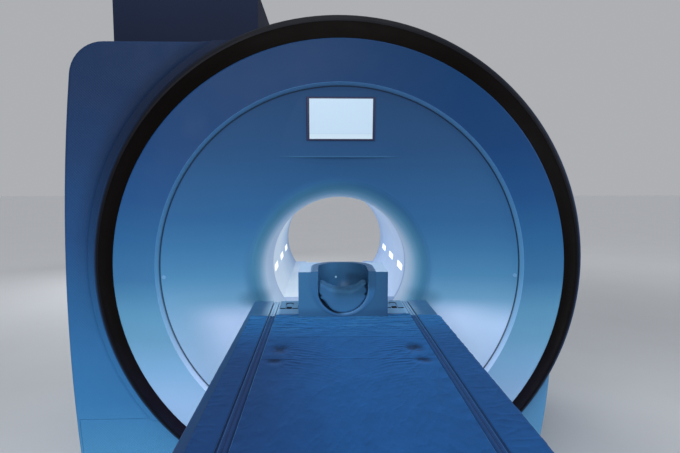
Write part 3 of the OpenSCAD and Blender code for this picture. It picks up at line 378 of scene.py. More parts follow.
# Bore: a round liner of white laminate, slid into the magnet, with rails of the same plastic. Lamps behind
# it light it through three windows a side, and a plain funnel ends it at the rear. Their light is painted
# on the liner: it is bluer at its rear and at the right, and glows a little, most at the left. A seam runs
# round its mouth.
liner = Paint("liner_satin", rough=0.4, spec=0.15)
colour = liner.ramp(liner.y, [(-0.62, (198, 208, 216)), (-0.2, (194, 206, 214)), (0.35, (164, 184, 202)),
                              (0.62, (122, 152, 184))])
seam_from, seam_full = -0.580, -0.592
seam = liner.fade(liner.y, seam_from, seam_full)
# Painted light: bluer towards the right.
right = liner.times(liner.fade(liner.x, -0.10, 0.25), 0.5)
colour = liner.mix(right, colour, rgb(150, 178, 220))
colour = liner.mix(liner.times(seam, 0.6), colour, rgb(92, 124, 166))
# The liner is made to glow a little, most at the left: the lamps' light painted on it.
least_glow, more_at_left = 0.31, 0.13
left = liner.fade(liner.x, 0.20, -0.20)
liner.glow(colour, liner.math("ADD", least_glow, liner.times(left, more_at_left)))
liner.rough(0.34, 0.48)
liner.grain(500, 0.05, 0.0005)
finish_of(liner.done(liner.mottle(colour, 3, 0.03)), "bore_liner", "left_bore_rail", "right_bore_rail")
window = Paint("window_lit", rough=0.35, spec=0.3)
window.glow(rgb(244, 247, 255), 1.1)
window.bump(window.noise(900, 1.0), 0.1, 0.0003)
finish_of(window.done(window.mottle(rgb(240, 244, 250), 60, 0.02)), "bore_lights")
rear = Paint("rear_panel", rough=0.45, spec=0.25)
rear.grain(500, 0.06, 0.0005)
finish_of(rear.done(rear.mottle(rgb(120, 158, 200), 3, 0.04)), "rear_funnel")

# Display: a flat glass screen in a dark moulded frame, glued into the panel over the bore. The screen is
# lit and blank, with a slightly brighter band along its foot under a faint line.
bezel = Paint("bezel_dark", rough=0.35, spec=0.35)
bezel.grain(700, 0.08, 0.0003)
finish_of(bezel.done(bezel.mottle(rgb(20, 24, 60), 20, 0.08)), "display_bezel")
band_top, line_half = glass_low.z + 0.0235, 0.003
screen = Paint("screen_lit", rough=0.2, spec=0.3)
colour = screen.mix(screen.fade(screen.z, band_top, band_top - 0.002), rgb(197, 220, 236), rgb(206, 226, 237))
line = screen.times(screen.fade(screen.z, band_top + line_half, band_top),
                    screen.fade(screen.z, band_top - line_half, band_top))
colour = screen.mix(screen.times(line, 0.35), colour, rgb(168, 196, 220))
screen.glow(colour, 0.47)
screen.bump(screen.noise(1200, 1.0), 0.02, 0.0002)
finish_of(screen.done(screen.mix(0.6, colour, rgb(60, 75, 100))), "display_glass")


# Steel and magnet: the parts inside the covers and the table's column. Frame, vessel and sleeves are welded
# and painted, the cold vessel, the screw and the deck are bare metal with lengthwise brush marks, and the
# coils are wound and cast in resin.
def coat(name, colour, scale=6.0, amount=0.06, low=0.4, high=0.6):
    p = Paint(name)
    p.rough(low, high)
    p.bump(p.noise(300, 3.0), 0.1, 0.0006)
    return p.done(p.mottle(rgb(*colour), scale, amount))


def brushed(name, colour, along):
    """Bare metal with brush marks along the axis of that number."""
    p = Paint(name, metal=1.0)
    stretch = [14.0, 14.0, 14.0]
    stretch[along] = 0.6
    p.bump(p.noise(40, 3.0, stretch), 0.15, 0.0004)
    p.rough(0.28, 0.42, 20)
    return p.done(p.mottle(rgb(*colour), 12, 0.05))


finish_of(coat("frame_grey", (98, 103, 112)), "floor_frame", "magnet_feet", "table_floor_plate")
finish_of(coat("vessel_paint", (178, 184, 194), low=0.35, high=0.5), "magnet_vessel", "cold_head")
finish_of(brushed("cold_metal", (190, 192, 196), 1), "helium_vessel")
finish_of(coat("coil_resin", (150, 112, 74), 12, 0.12), "gradient_coil")
finish_of(coat("coil_laminate", (120, 146, 120), 12, 0.08), "rf_body_coil")
finish_of(brushed("bright_steel", (196, 198, 200), 2), "lift_screw", "lift_tube")
finish_of(brushed("deck_aluminium", (168, 172, 178), 1), "table_frame")
finish_of(coat("sleeve_paint", (112, 146, 184), 3, 0.04), "lower_sleeve", "middle_sleeve", "upper_sleeve")


# Table: two side boards and two guide rails, screwed to the table's frame, and the cradle that slides between
# them, all moulded from white satin plastic. They are bright beside the rails at the bore's mouth and grow
# darker towards the foot end, as the light from the bore fades.
def table_paint(name, far, near):
    foot_end, middle, head_end = -3.2, -1.6, -0.9
    light_in, light_full, light_fades, light_out = 0.268, 0.290, 0.300, 0.365
    between = tuple((a + 2 * b) // 3 for a, b in zip(far, near))
    p = Paint(name, spec=0.12)
    colour = p.ramp(p.y, [(foot_end, near), (middle, between), (head_end, far)])
    across = p.math("ABSOLUTE", p.x)
    beside_rail = p.times(p.fade(across, light_in, light_full), p.fade(across, light_out, light_fades))
    beside_rail = p.times(beside_rail, p.fade(p.y, -1.30, -1.00))
    share = p.math("ADD", 0.35, p.times(p.fade(p.x, 0.3, -0.3), 0.5))
    colour = p.mix(p.times(beside_rail, share), colour, rgb(168, 204, 230))
    p.bump(p.noise(60, 2.0, (6, 0.4, 6)), 0.04, 0.0004)
    p.grain(500, 0.06, 0.0004)
    p.rough(0.36, 0.5)
    return p.done(p.mottle(colour, 4, 0.05))


finish_of(table_paint("board_paint", (58, 103, 142), (30, 47, 80)), "left_board", "right_board")
finish_of(table_paint("rail_paint", (74, 118, 158), (46, 80, 122)), "left_guide_rail", "right_guide_rail")
finish_of(table_paint("cradle_paint", (96, 146, 184), (44, 80, 124)), "cradle")


# Lids of the coil sockets: moulded from the cradle's plastic with a long scoop for the finger, and hinged
# at their far ends on pins of their own. Painted shade draws the scoop's round outline and the lid's near
# edge as dark lines, and makes the faces that do not face up nearly black.
pull_place, pull_half, pull_end = 0.240, 0.016, -0.9435
lid_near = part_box("left_socket_lid")[0].y
lid = Paint("lid_paint", spec=0.12)
# Painted shade along the scoop's outline and the lid's near edge.
du = lid.math("SUBTRACT", lid.math("ABSOLUTE", lid.x), pull_place)
dv = lid.math("MAXIMUM", lid.math("SUBTRACT", lid.y, pull_end), 0.0)
line_half = 0.0050
outline = lid.fade(away_from(lid, lid.far(du, dv), pull_half), line_half, 0.0015)
outline = lid.times(outline, lid.fade(lid.y, pull_end - 0.045, pull_end + 0.004))
near_edge_shade = lid.fade(lid.y, lid_near + 0.009, lid_near + 0.004)
# Painted shade: faces that do not face up are nearly black.
colour = lid.mix(lid.facing("Z", 0.9, 0.5), rgb(92, 142, 180), rgb(10, 16, 26))
dark = lid.times(lid.math("MAXIMUM", outline, near_edge_shade), 0.85)
colour = lid.mix(dark, colour, rgb(12, 40, 62))
lid.grain(500, 0.06, 0.0004)
lid.rough(0.36, 0.5)
finish_of(lid.done(lid.mottle(colour, 6, 0.05)), "left_socket_lid", "right_socket_lid")

# Lower parts of the table: the fairing, a blue moulding screwed round the frame, and parts of black plastic:
# the cradle's runners, the release handle on its pin, and the sockets for the coils' plugs.
finish_of(table_paint("fairing_paint", (72, 112, 156), (60, 98, 142)), "table_fairing")
finish_of(coat("runner_black", (34, 37, 42), 10, 0.1), "cradle_runners", "release_handle")
finish_of(coat("socket_black", (22, 23, 27), 10, 0.1), "coil_sockets")

# Head coil: a satin base block with a glossy bowl for the head, moulded from plastic, glued together and
# set on the cradle. Both are painted bright on top, where the bore lights them; the block is darker towards
# its right and has painted shade at its foot. The bowl has painted shade inside at its right, painted
# highlights at its brim's outer edges and a painted glint on its back wall; its front lip is pale, with
# painted shade at the lower left.
base = Paint("coil_satin", spec=0.10)
colour = base.ramp(base.x, [(-0.19, (54, 104, 146)), (0.0, (50, 98, 138)), (0.19, (43, 82, 118))])
# Painted shade at the block's foot.
foot = base.fade(base.z, 1.012, 0.975)
colour = base.mix(base.times(foot, 0.45), colour, rgb(30, 60, 98))
# Painted light on the faces turned up.
colour = base.mix(base.facing("Z", 0.6, 0.95), colour, rgb(172, 199, 226))
base.grain(500, 0.06, 0.0004)
base.rough(0.4, 0.52)
finish_of(base.done(base.mottle(colour, 5, 0.04)), "head_coil_base")
bowl = Paint("bowl_gloss", rough=0.30, spec=0.10)
colour = bowl.ramp(bowl.z, [(0.966, (34, 76, 120)), (1.00, (46, 92, 136)), (1.06, (50, 98, 142)),
                            (1.15, (54, 98, 138))])
bowl_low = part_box("head_coil_bowl")[0]
bowl_middle, mouth_half = bowl_low.z + 0.117, 0.112
hollow_r = bowl.radius((0, bowl_middle))
inside = bowl.fade(bowl.y, bowl_low.y + 0.03, bowl_low.y + 0.06)
inside = bowl.times(inside, bowl.fade(hollow_r, mouth_half + 0.004, mouth_half - 0.004))
# Painted shade inside the bowl, except at its left.
inside_shade = bowl.times(inside, bowl.fade(bowl.x, -0.055, 0.0))
colour = bowl.mix(bowl.times(inside_shade, 0.45), colour, rgb(30, 62, 92))
# More painted shade low inside at its right.
low_right_shade = bowl.times(bowl.fade(bowl.x, 0.0, 0.045), bowl.fade(bowl.z, 1.125, 1.095))
low_right_shade = bowl.times(low_right_shade, inside)
colour = bowl.mix(bowl.times(low_right_shade, 0.55), colour, rgb(24, 40, 58))
# Painted shade high at its right.
shade = bowl.times(bowl.fade(bowl.x, 0.0, 0.09), bowl.fade(bowl.z, 1.065, 1.10))
colour = bowl.mix(bowl.times(shade, 0.45), colour, rgb(30, 54, 78))
lip = bowl.fade(bowl.y, bowl_low.y + 0.04, bowl_low.y + 0.02)
lip = bowl.times(lip, bowl.fade(hollow_r, mouth_half, mouth_half - 0.005))
# Painted shade on the lip at the lower left.
lower_left_shade = bowl.times(bowl.fade(bowl.x, 0.015, -0.03), bowl.fade(bowl.z, 1.075, 1.055))
lip_colour = bowl.mix(lower_left_shade, rgb(74, 120, 164), rgb(14, 26, 42))
colour = bowl.mix(lip, colour, lip_colour)
# Painted highlights at the brim's outer edges, on its top.
above = bowl.times(bowl.facing("Z", 0.7, 0.97), bowl.fade(bowl.z, 1.12, 1.15))
brim = bowl.ramp(bowl.x, [(-0.142, (120, 158, 190)), (-0.135, (84, 128, 166)), (-0.128, (54, 98, 140)),
                          (0.125, (40, 76, 112)), (0.134, (52, 92, 130)), (0.142, (112, 152, 186))])
colour = bowl.mix(above, colour, brim)
# A painted glint on the bowl's back wall.
glint_place, glint_half = (-0.026, 1.0905), 0.0065
glint = bowl.fade(bowl.radius(glint_place), glint_half, 0.0020)
glint = bowl.times(glint, bowl.fade(bowl.y, bowl_low.y + 0.10, bowl_low.y + 0.12))
colour = bowl.mix(glint, colour, rgb(150, 196, 224))
bowl.grain(60, 0.03, 0.0006)
finish_of(bowl.done(bowl.mottle(colour, 8, 0.05)), "head_coil_bowl")

# Sheet: one thin cloth of spun and pressed fibres, laid on the mattress and cut out round the head coil's
# foot. Creases gather across its head end, it keeps two folds from its pack, and the straps' holes under it
# pull it down at four places, two a side.
sheet_far, sheet_near = -1.150, -3.083
sheet_half = 0.2865
# Place across and along, depth, and reach both ways of each pulled-down place
dimples = ((0.233, -1.607, 0.0056, 0.028, 0.040), (0.241, -1.728, 0.0044, 0.024, 0.024))
pack_folds = (-1.469, -1.706)
# Height, turn, spacing, stretch and seed of each set of creases
gathers = ((0.0014, 5, 0.040, 5.0, 1.3), (0.0012, -14, 0.034, 4.5, 5.1))
head_crinkles = ((0.0005, 12, 0.018, 4.0, 8.4),)
long_creases = ((0.0010, 84, 0.170, 5.0, 9.7), (0.0005, 66, 0.120, 3.0, 3.3),
                (0.0004, -58, 0.130, 2.5, 12.9), (0.0004, 80, 0.020, 4.0, 7.7))


def step(x, low, high):
    """0 at low and 1 at high, with a soft turn at each end; low may be the larger."""
    t = min(1.0, max(0.0, (x - low) / (high - low)))
    return t * t * (3 - 2 * t)


def creases(x, y, turn, spacing, stretch, seed):
    """Narrow ridges, 0 to 1, that run at turn degrees from X and are stretch times as long as spaced."""
    sharp = 3.2
    a = math.radians(turn)
    along = x * math.cos(a) + y * math.sin(a)
    across = y * math.cos(a) - x * math.sin(a)
    n = noise.noise(Vector((along / (spacing * stretch), across / spacing, seed)))
    return max(0.0, 1 - sharp * abs(n)) ** 2


def folds(x, y, sets):
    """Height of all creases of the sets at a place."""
    return sum(high * creases(x, y, *form) for high, *form in sets)


def hollow(x, y):
    """How far the mattress and the cloth are pushed down beside the straps' holes."""
    return sum(deep * math.exp(-((abs(x) - u) / wide) ** 2 - ((y - v) / tall) ** 2)
               for u, v, deep, wide, tall in dimples)


def pulls(x, y):
    """Creases that fan out from the pulled-down places towards the middle, bowing to the near end."""
    curve, ray_count, arc_count = 2.1, 13, 260
    height, reach = 0.26, 0.085
    rise = 0.0
    for u, v, deep, _, _ in dimples:
        inward = u - abs(x)
        bow = y - v + curve * inward * inward
        far = math.hypot(inward, bow)
        turn = math.atan2(bow, max(0.001, inward))
        wander = 3.0 * noise.noise(Vector((far * 13, turn * 2, u * 50 + (x > 0))))
        rays = (0.5 + 0.5 * math.cos(turn * ray_count + wander)) ** 2 * step(bow, 0.06, 0.01)
        arcs = (0.5 + 0.5 * math.cos(bow * arc_count + wander)) ** 2 * step(inward, 0.015, 0.060)
        fade = math.exp(-far / reach) * step(far, 0.015, 0.050) * step(inward, -0.03, 0.02)
        rise += height * deep * fade * (rays + arcs)
    return rise


def cradle_rise(x, y):
    """Height of the sheet over the mattress."""
    fold_high, fold_half, fold_lean = 0.0006, 0.0055, 0.012
    edge_high, edge_from, edge_full = 0.0012, 0.245, 0.284
    gathered_from, gathered_full = -1.58, -1.22
    less_in_middle, middle_half = 0.6, 0.13
    head = step(y, gathered_from, gathered_full)
    middle = 1 - less_in_middle * math.exp(-(x / middle_half) ** 2)
    rise = head * (middle * folds(x, y, gathers) + folds(x, y, head_crinkles))
    rise += folds(x, y, long_creases)
    rise += sum(fold_high * math.exp(-((y - v + fold_lean * x) / fold_half) ** 2) for v in pack_folds)
    ruffle = 0.5 + noise.noise(Vector((x * 3, y * 22, 2.0)))
    rise += edge_high * step(abs(x), edge_from, edge_full) * ruffle
    return max(0.0, rise) + pulls(x, y) - hollow(x, y)


def smooth_piece(name, mesh):
    """The smooth-shaded piece that a bmesh becomes."""
    data = bpy.data.meshes.new(name)
    mesh.to_mesh(data)
    mesh.free()
    data.polygons.foreach_set("use_smooth", [True] * len(data.polygons))
    return add(name, data)


def lay_cloth(name, columns, rows, place, away=None):
    """A grid of single-skin cloth. place(u, v) puts a point that lies at shares u and v of the way across
    and down the cloth, and away(u, v) says which faces are cut out. The attribute "lit" says how far each
    point slopes to the bore's light, from 0 to 1."""
    half, slope_share = 0.5, 3.2
    mesh = bmesh.new()
    bmesh.ops.create_grid(mesh, x_segments=columns, y_segments=rows, size=half)
    if away:
        middles = ((f, f.calc_center_median()) for f in mesh.faces)
        gone = [f for f, middle in middles if away(middle.x + half, half - middle.y)]
        bmesh.ops.delete(mesh, geom=gone, context="FACES")
    lit = []
    reach = 0.3 / rows
    for v in mesh.verts:
        across, down = v.co.x + half, half - v.co.y
        v.co = place(across, down)
        far = Vector(place(across, down - reach))
        near = Vector(place(across, down + reach))
        slope = (far.z - near.z) / max(1e-6, (far - near).xy.length)
        lit.append(min(1.0, max(0.0, 0.5 - slope_share * slope)))
    bmesh.ops.recalc_face_normals(mesh, faces=mesh.faces)
    if sum(f.normal.z for f in mesh.faces) < 0:
        bmesh.ops.reverse_faces(mesh, faces=mesh.faces)
    cloth = smooth_piece(name, mesh)
    cloth.data.attributes.new("lit", "FLOAT", "POINT").data.foreach_set("value", lit)
    return cloth


block_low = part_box("head_coil_base")[0]
notch_share = 2 / 3
notch_half = sheet_half * notch_share
sheet_columns, sheet_rows = 108, 356
notch_rows = math.ceil((sheet_far - block_low.y) / (sheet_far - sheet_near) * sheet_rows)
sheet_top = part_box("cradle_sheet")[1].z - 0.001


def cradle_place(across, down):
    x = sheet_half * (2 * across - 1)
    y = sheet_far + (sheet_near - sheet_far) * down
    rise = cradle_rise(x, y)
    torn_back, torn_wave, torn_reach, side_wave = 0.006, 0.005, 0.03, 0.0012
    torn = max(0.0, 1 - (sheet_far - y) / torn_reach) * step(abs(x), notch_half, notch_half + 0.02)
    y += torn * (torn_wave * noise.noise(Vector((x * 14, 0, 4.0))) - torn_back)
    x += side_wave * step(abs(x), 0.25, sheet_half) * noise.noise(Vector((0, y * 9, 8.0)))
    return x, y, sheet_top + rise


def coil_notch(across, down):
    return abs(2 * across - 1) < notch_share and down * sheet_rows < notch_rows


cradle_cloth = lay_cloth("cradle_cloth", sheet_columns, sheet_rows, cradle_place, coil_notch)
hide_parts("cradle_sheet")
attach(cradle_cloth, "cradle")

# Side cloths: the same thin cloth, laid over each guide rail and its board. It sinks a little into the rail's
# groove and the gap beside it, and ends in a torn, slightly wavy edge. The right one hangs over its board.
board_top, rail_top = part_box("left_board")[1].z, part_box("left_guide_rail")[1].z
rail_in, rail_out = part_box("right_guide_rail")[0].x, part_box("right_guide_rail")[1].x
board_in, board_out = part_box("right_board")[0].x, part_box("right_board")[1].x
board_far, board_near = sheet_far - 0.004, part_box("right_board_sheet")[0].y
groove, groove_deep, groove_wide = rail_in + 0.0105, 0.0020, 0.0024
gap, gap_deep, gap_wide = (rail_out + board_in) / 2, 0.0048, 0.0030
cloth_in = rail_in - 0.0032
cloth_columns, cloth_rows = 50, 362


def side_cloth(name, sign, edge_far, edge_near, hang):
    corner_more, corner_reach = 0.010, 0.055
    hang_from, hang_curve = board_out - 0.010, 26

    def place(share, down):
        v = board_far + (board_near - board_far) * down
        edge = edge_far + (edge_near - edge_far) * down
        wave = noise.noise(Vector((3.0 * sign, v * 26, 1.0))) + 0.5 * noise.noise(Vector((1, v * 90, sign)))
        edge += (0.0026 if hang else 0.0010) * wave
        edge += corner_more * math.exp(-((v - board_far) / corner_reach) ** 2) if hang else 0.0
        u = cloth_in + (edge - cloth_in) * share
        rise = rail_top + (board_top - rail_top) * step(u, gap - 0.004, gap + 0.004) + 0.0010
        rise -= 0.0055 * step(u, rail_in + 0.0006, cloth_in)
        rise -= groove_deep * math.exp(-((u - groove) / groove_wide) ** 2)
        rise -= gap_deep * math.exp(-((u - gap) / gap_wide) ** 2)
        over = max(0.0, u - hang_from)
        rise -= hang_curve * over * over
        loose = step(u, board_in, board_in + 0.03)
        head = step(v, -1.62, -1.20)
        rise += loose * ((0.0005 + 0.0006 * head) * creases(u, v, 9 * sign, 0.034, 3.0, 2.0 + sign)
                         + 0.0005 * creases(u, v, 78 * sign, 0.045, 5.0, 4.0 + sign)
                         + 0.0006 * max(0.0, noise.noise(Vector((u * 30, v * 16, 6.0 * sign)))))
        rise += 0.0008 * step(share, 0.86, 1.0) * (1 + wave)
        end = math.exp(-((v - board_far) / 0.02) ** 2)
        v += end * (-0.010 * share * (sign > 0) + 0.006 * noise.noise(Vector((u * 40, 0, 5.0 * sign))))
        return sign * u, v, rise

    piece = lay_cloth(name, cloth_columns, cloth_rows, place)
    node = "left_board_sheet" if sign < 0 else "right_board_sheet"
    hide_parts(node)
    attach(piece, "table")
    return piece


left_cloth = side_cloth("left_side_cloth", -1, 0.395, 0.376, False)
right_cloth = side_cloth("right_side_cloth", 1, board_out + 0.0010, board_out + 0.0018, True)


# The sheets' material: blue fibres, spun and pressed into thin nonwoven with a fine crinkle. It is painted
# paler towards the bore and lighter where a crease faces the bore's light, it is darker over the rails,
# and painted shade darkens it in groove and gap and in the hollows where the straps' holes pull it down.
def sheet_material():
    p = Paint("sheet_fabric", rough=0.85, spec=0.05)
    p.shader.inputs["Sheen Weight"].default_value = 0.04
    p.shader.inputs["Sheen Roughness"].default_value = 0.5
    # Painted light: paler towards the bore.
    colour = p.ramp(p.y, [(-3.1, (18, 65, 114)), (-2.2, (18, 69, 123)), (-1.55, (18, 78, 135)),
                          (-1.15, (24, 94, 150))])
    left = p.times(p.fade(p.x, 0.02, -0.30), p.fade(p.y, -1.25, -1.75))
    colour = p.mix(p.times(left, 0.65), colour, rgb(14, 40, 82))
    patch = p.times(p.fade(p.noise(9, 2.0, (1, 2.2, 1)), 0.52, 0.66), p.fade(p.y, -1.50, -1.25))
    colour = p.mix(p.times(patch, 0.30), colour, rgb(56, 124, 172))
    u = p.math("ABSOLUTE", p.x)
    # Painted shade in the hollows where the straps' holes pull the sheet down.
    for across, down, _, wide, tall in dimples:
        du = p.math("DIVIDE", p.math("SUBTRACT", u, across), wide)
        dv = p.math("DIVIDE", p.math("SUBTRACT", p.y, down), tall)
        hollow_shade = p.times(p.fade(p.far(du, dv), 1.55, 0.55), p.fade(p.noise(38, 3.0), 0.36, 0.58))
        colour = p.mix(p.times(hollow_shade, 0.72), colour, rgb(20, 38, 66))
    # Painted shade in the rail's groove and in the gap.
    for middle, half in ((groove, 0.0040), (gap, 0.0050)):
        sunk_shade = p.fade(away_from(p, u, middle), half, half * 0.35)
        colour = p.mix(p.times(sunk_shade, 0.6), colour, rgb(12, 26, 54))
    rail = p.times(p.fade(u, cloth_in, rail_in), p.fade(u, rail_out + 0.003, rail_out))
    colour = p.mix(p.times(rail, 0.55), colour, rgb(24, 44, 82))
    along = p.times(p.fade(p.y, -2.30, -2.10), p.fade(p.y, -1.15, -1.45))
    right = p.times(p.fade(p.x, rail_out, rail_out + 0.010), along)
    colour = p.mix(p.times(right, 0.30), colour, rgb(12, 44, 88))
    darkest, lightest = 0.50, 1.50
    lit = p.node("ShaderNodeAttribute", {"attribute_name": "lit"}).outputs["Fac"]
    colour = p.scaled(colour, p.span(lit, (0.0, 1.0, darkest, lightest)))
    p.bump(p.noise(34, 5.0, (1, 1, 0.2), 0.6), 0.35, 0.0016)
    p.bump(p.noise(190, 4.0, (1, 1, 0.2), 0.65), 0.30, 0.0005)
    p.grain(900, 0.25, 0.0002)
    p.rough(0.78, 0.92, 30)
    for scale, amount in ((26, 0.06), (5, 0.06), (150, 0.05)):
        colour = p.mottle(colour, scale, amount)
    return p.done(colour)


cloth_paint = sheet_material()
for piece in (cradle_cloth, left_cloth, right_cloth):
    finish_of(cloth_paint, piece.name)


# Mattress: a thin foam pad in a coated cover, laid loose in the cradle's tray. The foam is cut from a block,
# its edges are rounded, and the cover's welded seam runs round its sides. The same places are pushed down
# in it as in the sheet.
def mattress_pad():
    low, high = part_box("mattress")
    size, middle = high - low, (high + low) / 2
    edge, seam, spacing = 0.005, 0.0009, 0.009
    mesh = bmesh.new()
    bmesh.ops.create_cube(mesh, size=1.0)
    bmesh.ops.scale(mesh, verts=mesh.verts, vec=size)
    bmesh.ops.translate(mesh, verts=mesh.verts, vec=middle)
    for axis, cuts in ((2, 1), (0, round(size.x / spacing)), (1, round(size.y / spacing))):
        runs = [e for e in mesh.edges if abs((e.verts[0].co - e.verts[1].co).normalized()[axis]) > 0.99]
        bmesh.ops.subdivide_edges(mesh, edges=runs, cuts=cuts, use_grid_fill=True)
    for v in mesh.verts:
        if abs(v.co.z - middle.z) < 1e-5:
            v.co.xy -= (v.co - middle).normalized().xy * seam
    rim = [e for e in mesh.edges if e.calc_face_angle(0) > 1]
    bmesh.ops.bevel(mesh, geom=rim, offset=edge, offset_type="OFFSET", affect="EDGES", segments=4,
                    profile=0.5, material=-1)
    for v in mesh.verts:
        if v.co.z > middle.z:
            v.co.z -= hollow(v.co.x, v.co.y) * step(v.co.z, middle.z, high.z)
    return smooth_piece("mattress_pad", mesh)


pad = mattress_pad()
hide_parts("mattress")
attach(pad, "cradle")
coated = Paint("mattress_cover", spec=0.3)
coated.bump(coated.noise(520, 3.0, (1, 1, 1), 0.6), 0.2, 0.0004)
coated.rough(0.45, 0.6, 14)
finish_of(coated.done(coated.mottle(rgb(52, 84, 128), 9, 0.07)), "mattress_pad")


# Head cushion: a foam cushion in a coated cover, sewn with a welt at its near rim and laid in the bowl. It
# starts as the CAD solid, remeshed, blown up as cloth and kept close to its own surface, so that it fills the
# bowl. Then its neck roll gets the wavy upper edge, the slots and the pinched corner of the real one.
def keep_shape(piece):
    """Applies the modifiers that the piece has now."""
    view = bpy.context.evaluated_depsgraph_get()
    shaped = bpy.data.meshes.new_from_object(piece.evaluated_get(view))
    piece.modifiers.clear()
    piece.data = shaped


def soften(piece, times):
    """Evens out the mesh by moving each point towards its neighbours."""
    mesh = bmesh.new()
    mesh.from_mesh(piece.data)
    for _ in range(times):
        bmesh.ops.smooth_vert(mesh, verts=mesh.verts, factor=0.5, use_axis_x=True, use_axis_y=True,
                              use_axis_z=True)
    mesh.to_mesh(piece.data)
    mesh.free()


def blow_up(piece, pressure, frames):
    """Fills the piece with air as a cloth that weighs nothing."""
    cloth = piece.modifiers.new("cloth", "CLOTH")
    cloth.settings.use_pressure = True
    cloth.settings.uniform_pressure_force = pressure
    cloth.settings.effector_weights.gravity = 0.0
    cloth.point_cache.frame_end = frames
    for f in range(1, frames + 1):
        scene.frame_set(f)
    keep_shape(piece)


def keep_close(piece, start, surface):
    """Limits how far the points have moved, and how proud of the solid's surface they stand."""
    most_move, least_room, top_room = 0.007, 0.0004, 0.005
    for v, s in zip(piece.data.vertices, start):
        move = v.co - s
        v.co = s + move * min(1.0, most_move / max(1e-9, move.length))
        hit, normal, _, _ = surface.find_nearest(v.co)
        proud = (v.co - hit).dot(normal)
        room = least_room + top_room * max(0.0, normal.z) * step(normal.z, 0.3, 0.8)
        if proud > room:
            v.co -= normal * (proud - room)


def shape_neck_roll(piece, near_end):
    """Waves the roll's upper edge, cuts the slots beside it, pinches its left corner and raises the welt."""
    # Place across, height and half height of each slot
    slots = ((-0.104, 1.062, 0.007), (0.104, 1.068, 0.006), (0.106, 1.101, 0.008))
    slot_deep, slot_from, slot_full = 0.010, 0.0080, 0.0105
    wave_high, wave_count, wave_turn, roll_sink = 0.0030, 62, 0.9, 0.014
    pinch_in, pinch_up = 0.009, 0.004
    welt_place, welt_half, welt_high = near_end + 0.012, 0.0022, 0.0012
    for v in piece.data.vertices:
        x, z = v.co.x, v.co.z
        roll = step(v.co.y, near_end + 0.070, near_end + 0.048)
        wave = step(z, 1.05, 1.09) * wave_high * math.cos(x * wave_count + wave_turn)
        v.co.z += roll * (wave - step(z, 1.01, 1.08) * roll_sink)
        near = step(v.co.y, near_end + 0.030, near_end + 0.012)
        for u, level, tall in slots:
            cut = near * math.exp(-((z - level) / tall) ** 2) * step(u * x, slot_from, slot_full)
            v.co.x -= math.copysign(slot_deep, u) * cut
        pinch = near * step(-x, 0.03, 0.09) * step(z, 1.055, 1.02)
        v.co.x += pinch_in * pinch
        v.co.z += pinch_up * pinch
        v.co.y += welt_high * math.exp(-((v.co.y - welt_place) / welt_half) ** 2)


def head_cushion():
    source, voxel = nodes["head_pad"], 0.0045
    piece = add("head_cushion", source.data.copy())
    surface = BVHTree.FromObject(source, bpy.context.evaluated_depsgraph_get())
    remesh = piece.modifiers.new("remesh", "REMESH")
    remesh.mode = "VOXEL"
    remesh.voxel_size = voxel
    keep_shape(piece)
    soften(piece, 6)
    start = [v.co.copy() for v in piece.data.vertices]
    blow_up(piece, pressure=4.0, frames=20)
    keep_close(piece, start, surface)
    shape_neck_roll(piece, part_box("head_pad")[0].y)
    scene.frame_set(1)
    soften(piece, 2)
    finer = piece.modifiers.new("finer", "SUBSURF")
    finer.levels = finer.render_levels = 1
    keep_shape(piece)
    piece.data.polygons.foreach_set("use_smooth", [True] * len(piece.data.polygons))
    return piece


cushion = head_cushion()
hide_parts("head_pad")
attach(cushion, "cradle")
cover = Paint("pad_cover", rough=0.6, spec=0.08)
cover.shader.inputs["Sheen Weight"].default_value = 0.02
cover.bump(cover.noise(60, 4.0), 0.25, 0.0012)
cover.bump(cover.noise(420, 3.0), 0.2, 0.0003)
cover.rough(0.5, 0.66, 20)
colour = cover.ramp(cover.z, [(0.98, (51, 100, 143)), (1.04, (47, 92, 132)), (1.065, (37, 76, 108)),
                              (1.10, (35, 71, 101))])
left = cover.times(cover.fade(cover.x, -0.015, -0.055), 0.8)
colour = cover.mix(left, colour, rgb(51, 98, 140))
finish_of(cover.done(cover.mottle(colour, 12, 0.05)), "head_cushion")

# Floor and light: a plain pale floor of smooth screed, an even grey surround, and large soft lamps in front,
# at the right, above and behind, so that every side of the scanner can be seen. The floor's far part fades
# to the surround's grey by a glow that lights nothing else.
def background_seen(tree):
    """1 for the rays that show the background: the camera's, and those through glass or off gloss."""
    rays = tree.nodes.new("ShaderNodeLightPath")
    seen = rays.outputs["Is Camera Ray"]
    for kind in ("Is Glossy Ray", "Is Transmission Ray"):
        either = tree.nodes.new("ShaderNodeMath")
        either.operation = "MAXIMUM"
        tree.links.new(seen, either.inputs[0])
        tree.links.new(rays.outputs[kind], either.inputs[1])
        seen = either.outputs[0]
    return seen


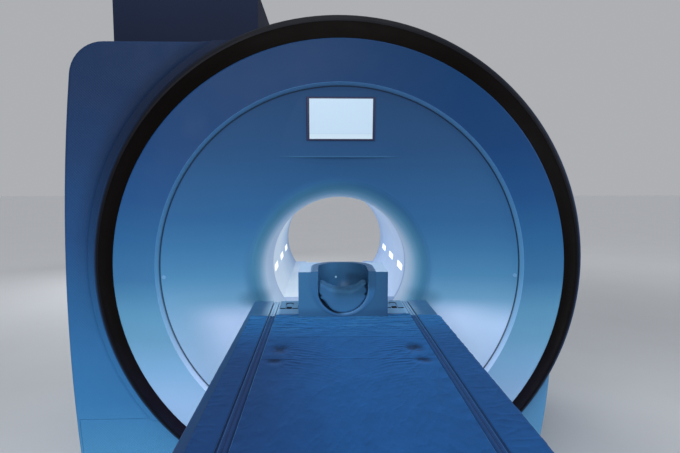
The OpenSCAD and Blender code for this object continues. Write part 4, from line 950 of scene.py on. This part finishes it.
floor_half, floor_drop = 40.0, 0.001
glow_from, glow_full = 2.5, 8.5
screed = bmesh.new()
bmesh.ops.create_grid(screed, x_segments=1, y_segments=1, size=floor_half)
bmesh.ops.translate(screed, verts=screed.verts, vec=(0, 0, -floor_drop))
ground = bpy.data.meshes.new("floor")
screed.to_mesh(ground)
screed.free()
floor = add("floor", ground)
pale = Paint("floor_pale", rough=0.7, spec=0.2)
away = pale.node("ShaderNodeVectorMath", {"operation": "LENGTH"}, _0=pale.place).outputs["Value"]
far_glow = pale.times(pale.fade(away, glow_from, glow_full), 0.42)
pale.glow(rgb(210, 212, 216), pale.times(far_glow, background_seen(pale.tree)))
floor.data.materials.append(pale.done(pale.mottle(rgb(196, 199, 203), 1.2, 0.02)))

surround = bpy.data.worlds.new("surround")
surround.use_nodes = True
light_tree = surround.node_tree
soft = light_tree.nodes["Background"]
soft.inputs["Color"].default_value = (0.150, 0.155, 0.165, 1)
backdrop = light_tree.nodes.new("ShaderNodeBackground")
backdrop.inputs["Color"].default_value = (0.42, 0.43, 0.45, 1)
either = light_tree.nodes.new("ShaderNodeMixShader")
light_tree.links.new(background_seen(light_tree), either.inputs[0])
light_tree.links.new(soft.outputs[0], either.inputs[1])
light_tree.links.new(backdrop.outputs[0], either.inputs[2])
light_tree.links.new(either.outputs[0], light_tree.nodes["World Output"].inputs["Surface"])
scene.world = surround
for name, place, aim, size, power in (
        ("lamp_front", (-1.2, -5.4, 3.2), (0, 0, 1.1), 3.8, 235),
        ("lamp_right", (4.6, -2.6, 3.2), (0, 0, 1.0), 2.6, 80),
        ("lamp_above", (0.0, -2.2, 4.8), (0, -1.6, 0.9), 3.4, 75),
        ("lamp_back", (-2.2, 5.0, 3.6), (0, 0, 1.1), 3.2, 190)):
    lamp = bpy.data.lights.new(name, "AREA")
    lamp.energy = power
    lamp.size = size
    lamp.color = (0.96, 0.98, 1.0)
    stand = add(name, lamp)
    stand.location = place
    stand.rotation_euler = (Vector(aim) - Vector(place)).to_track_quat("-Z", "Y").to_euler()
scene.view_settings.view_transform = "Standard"
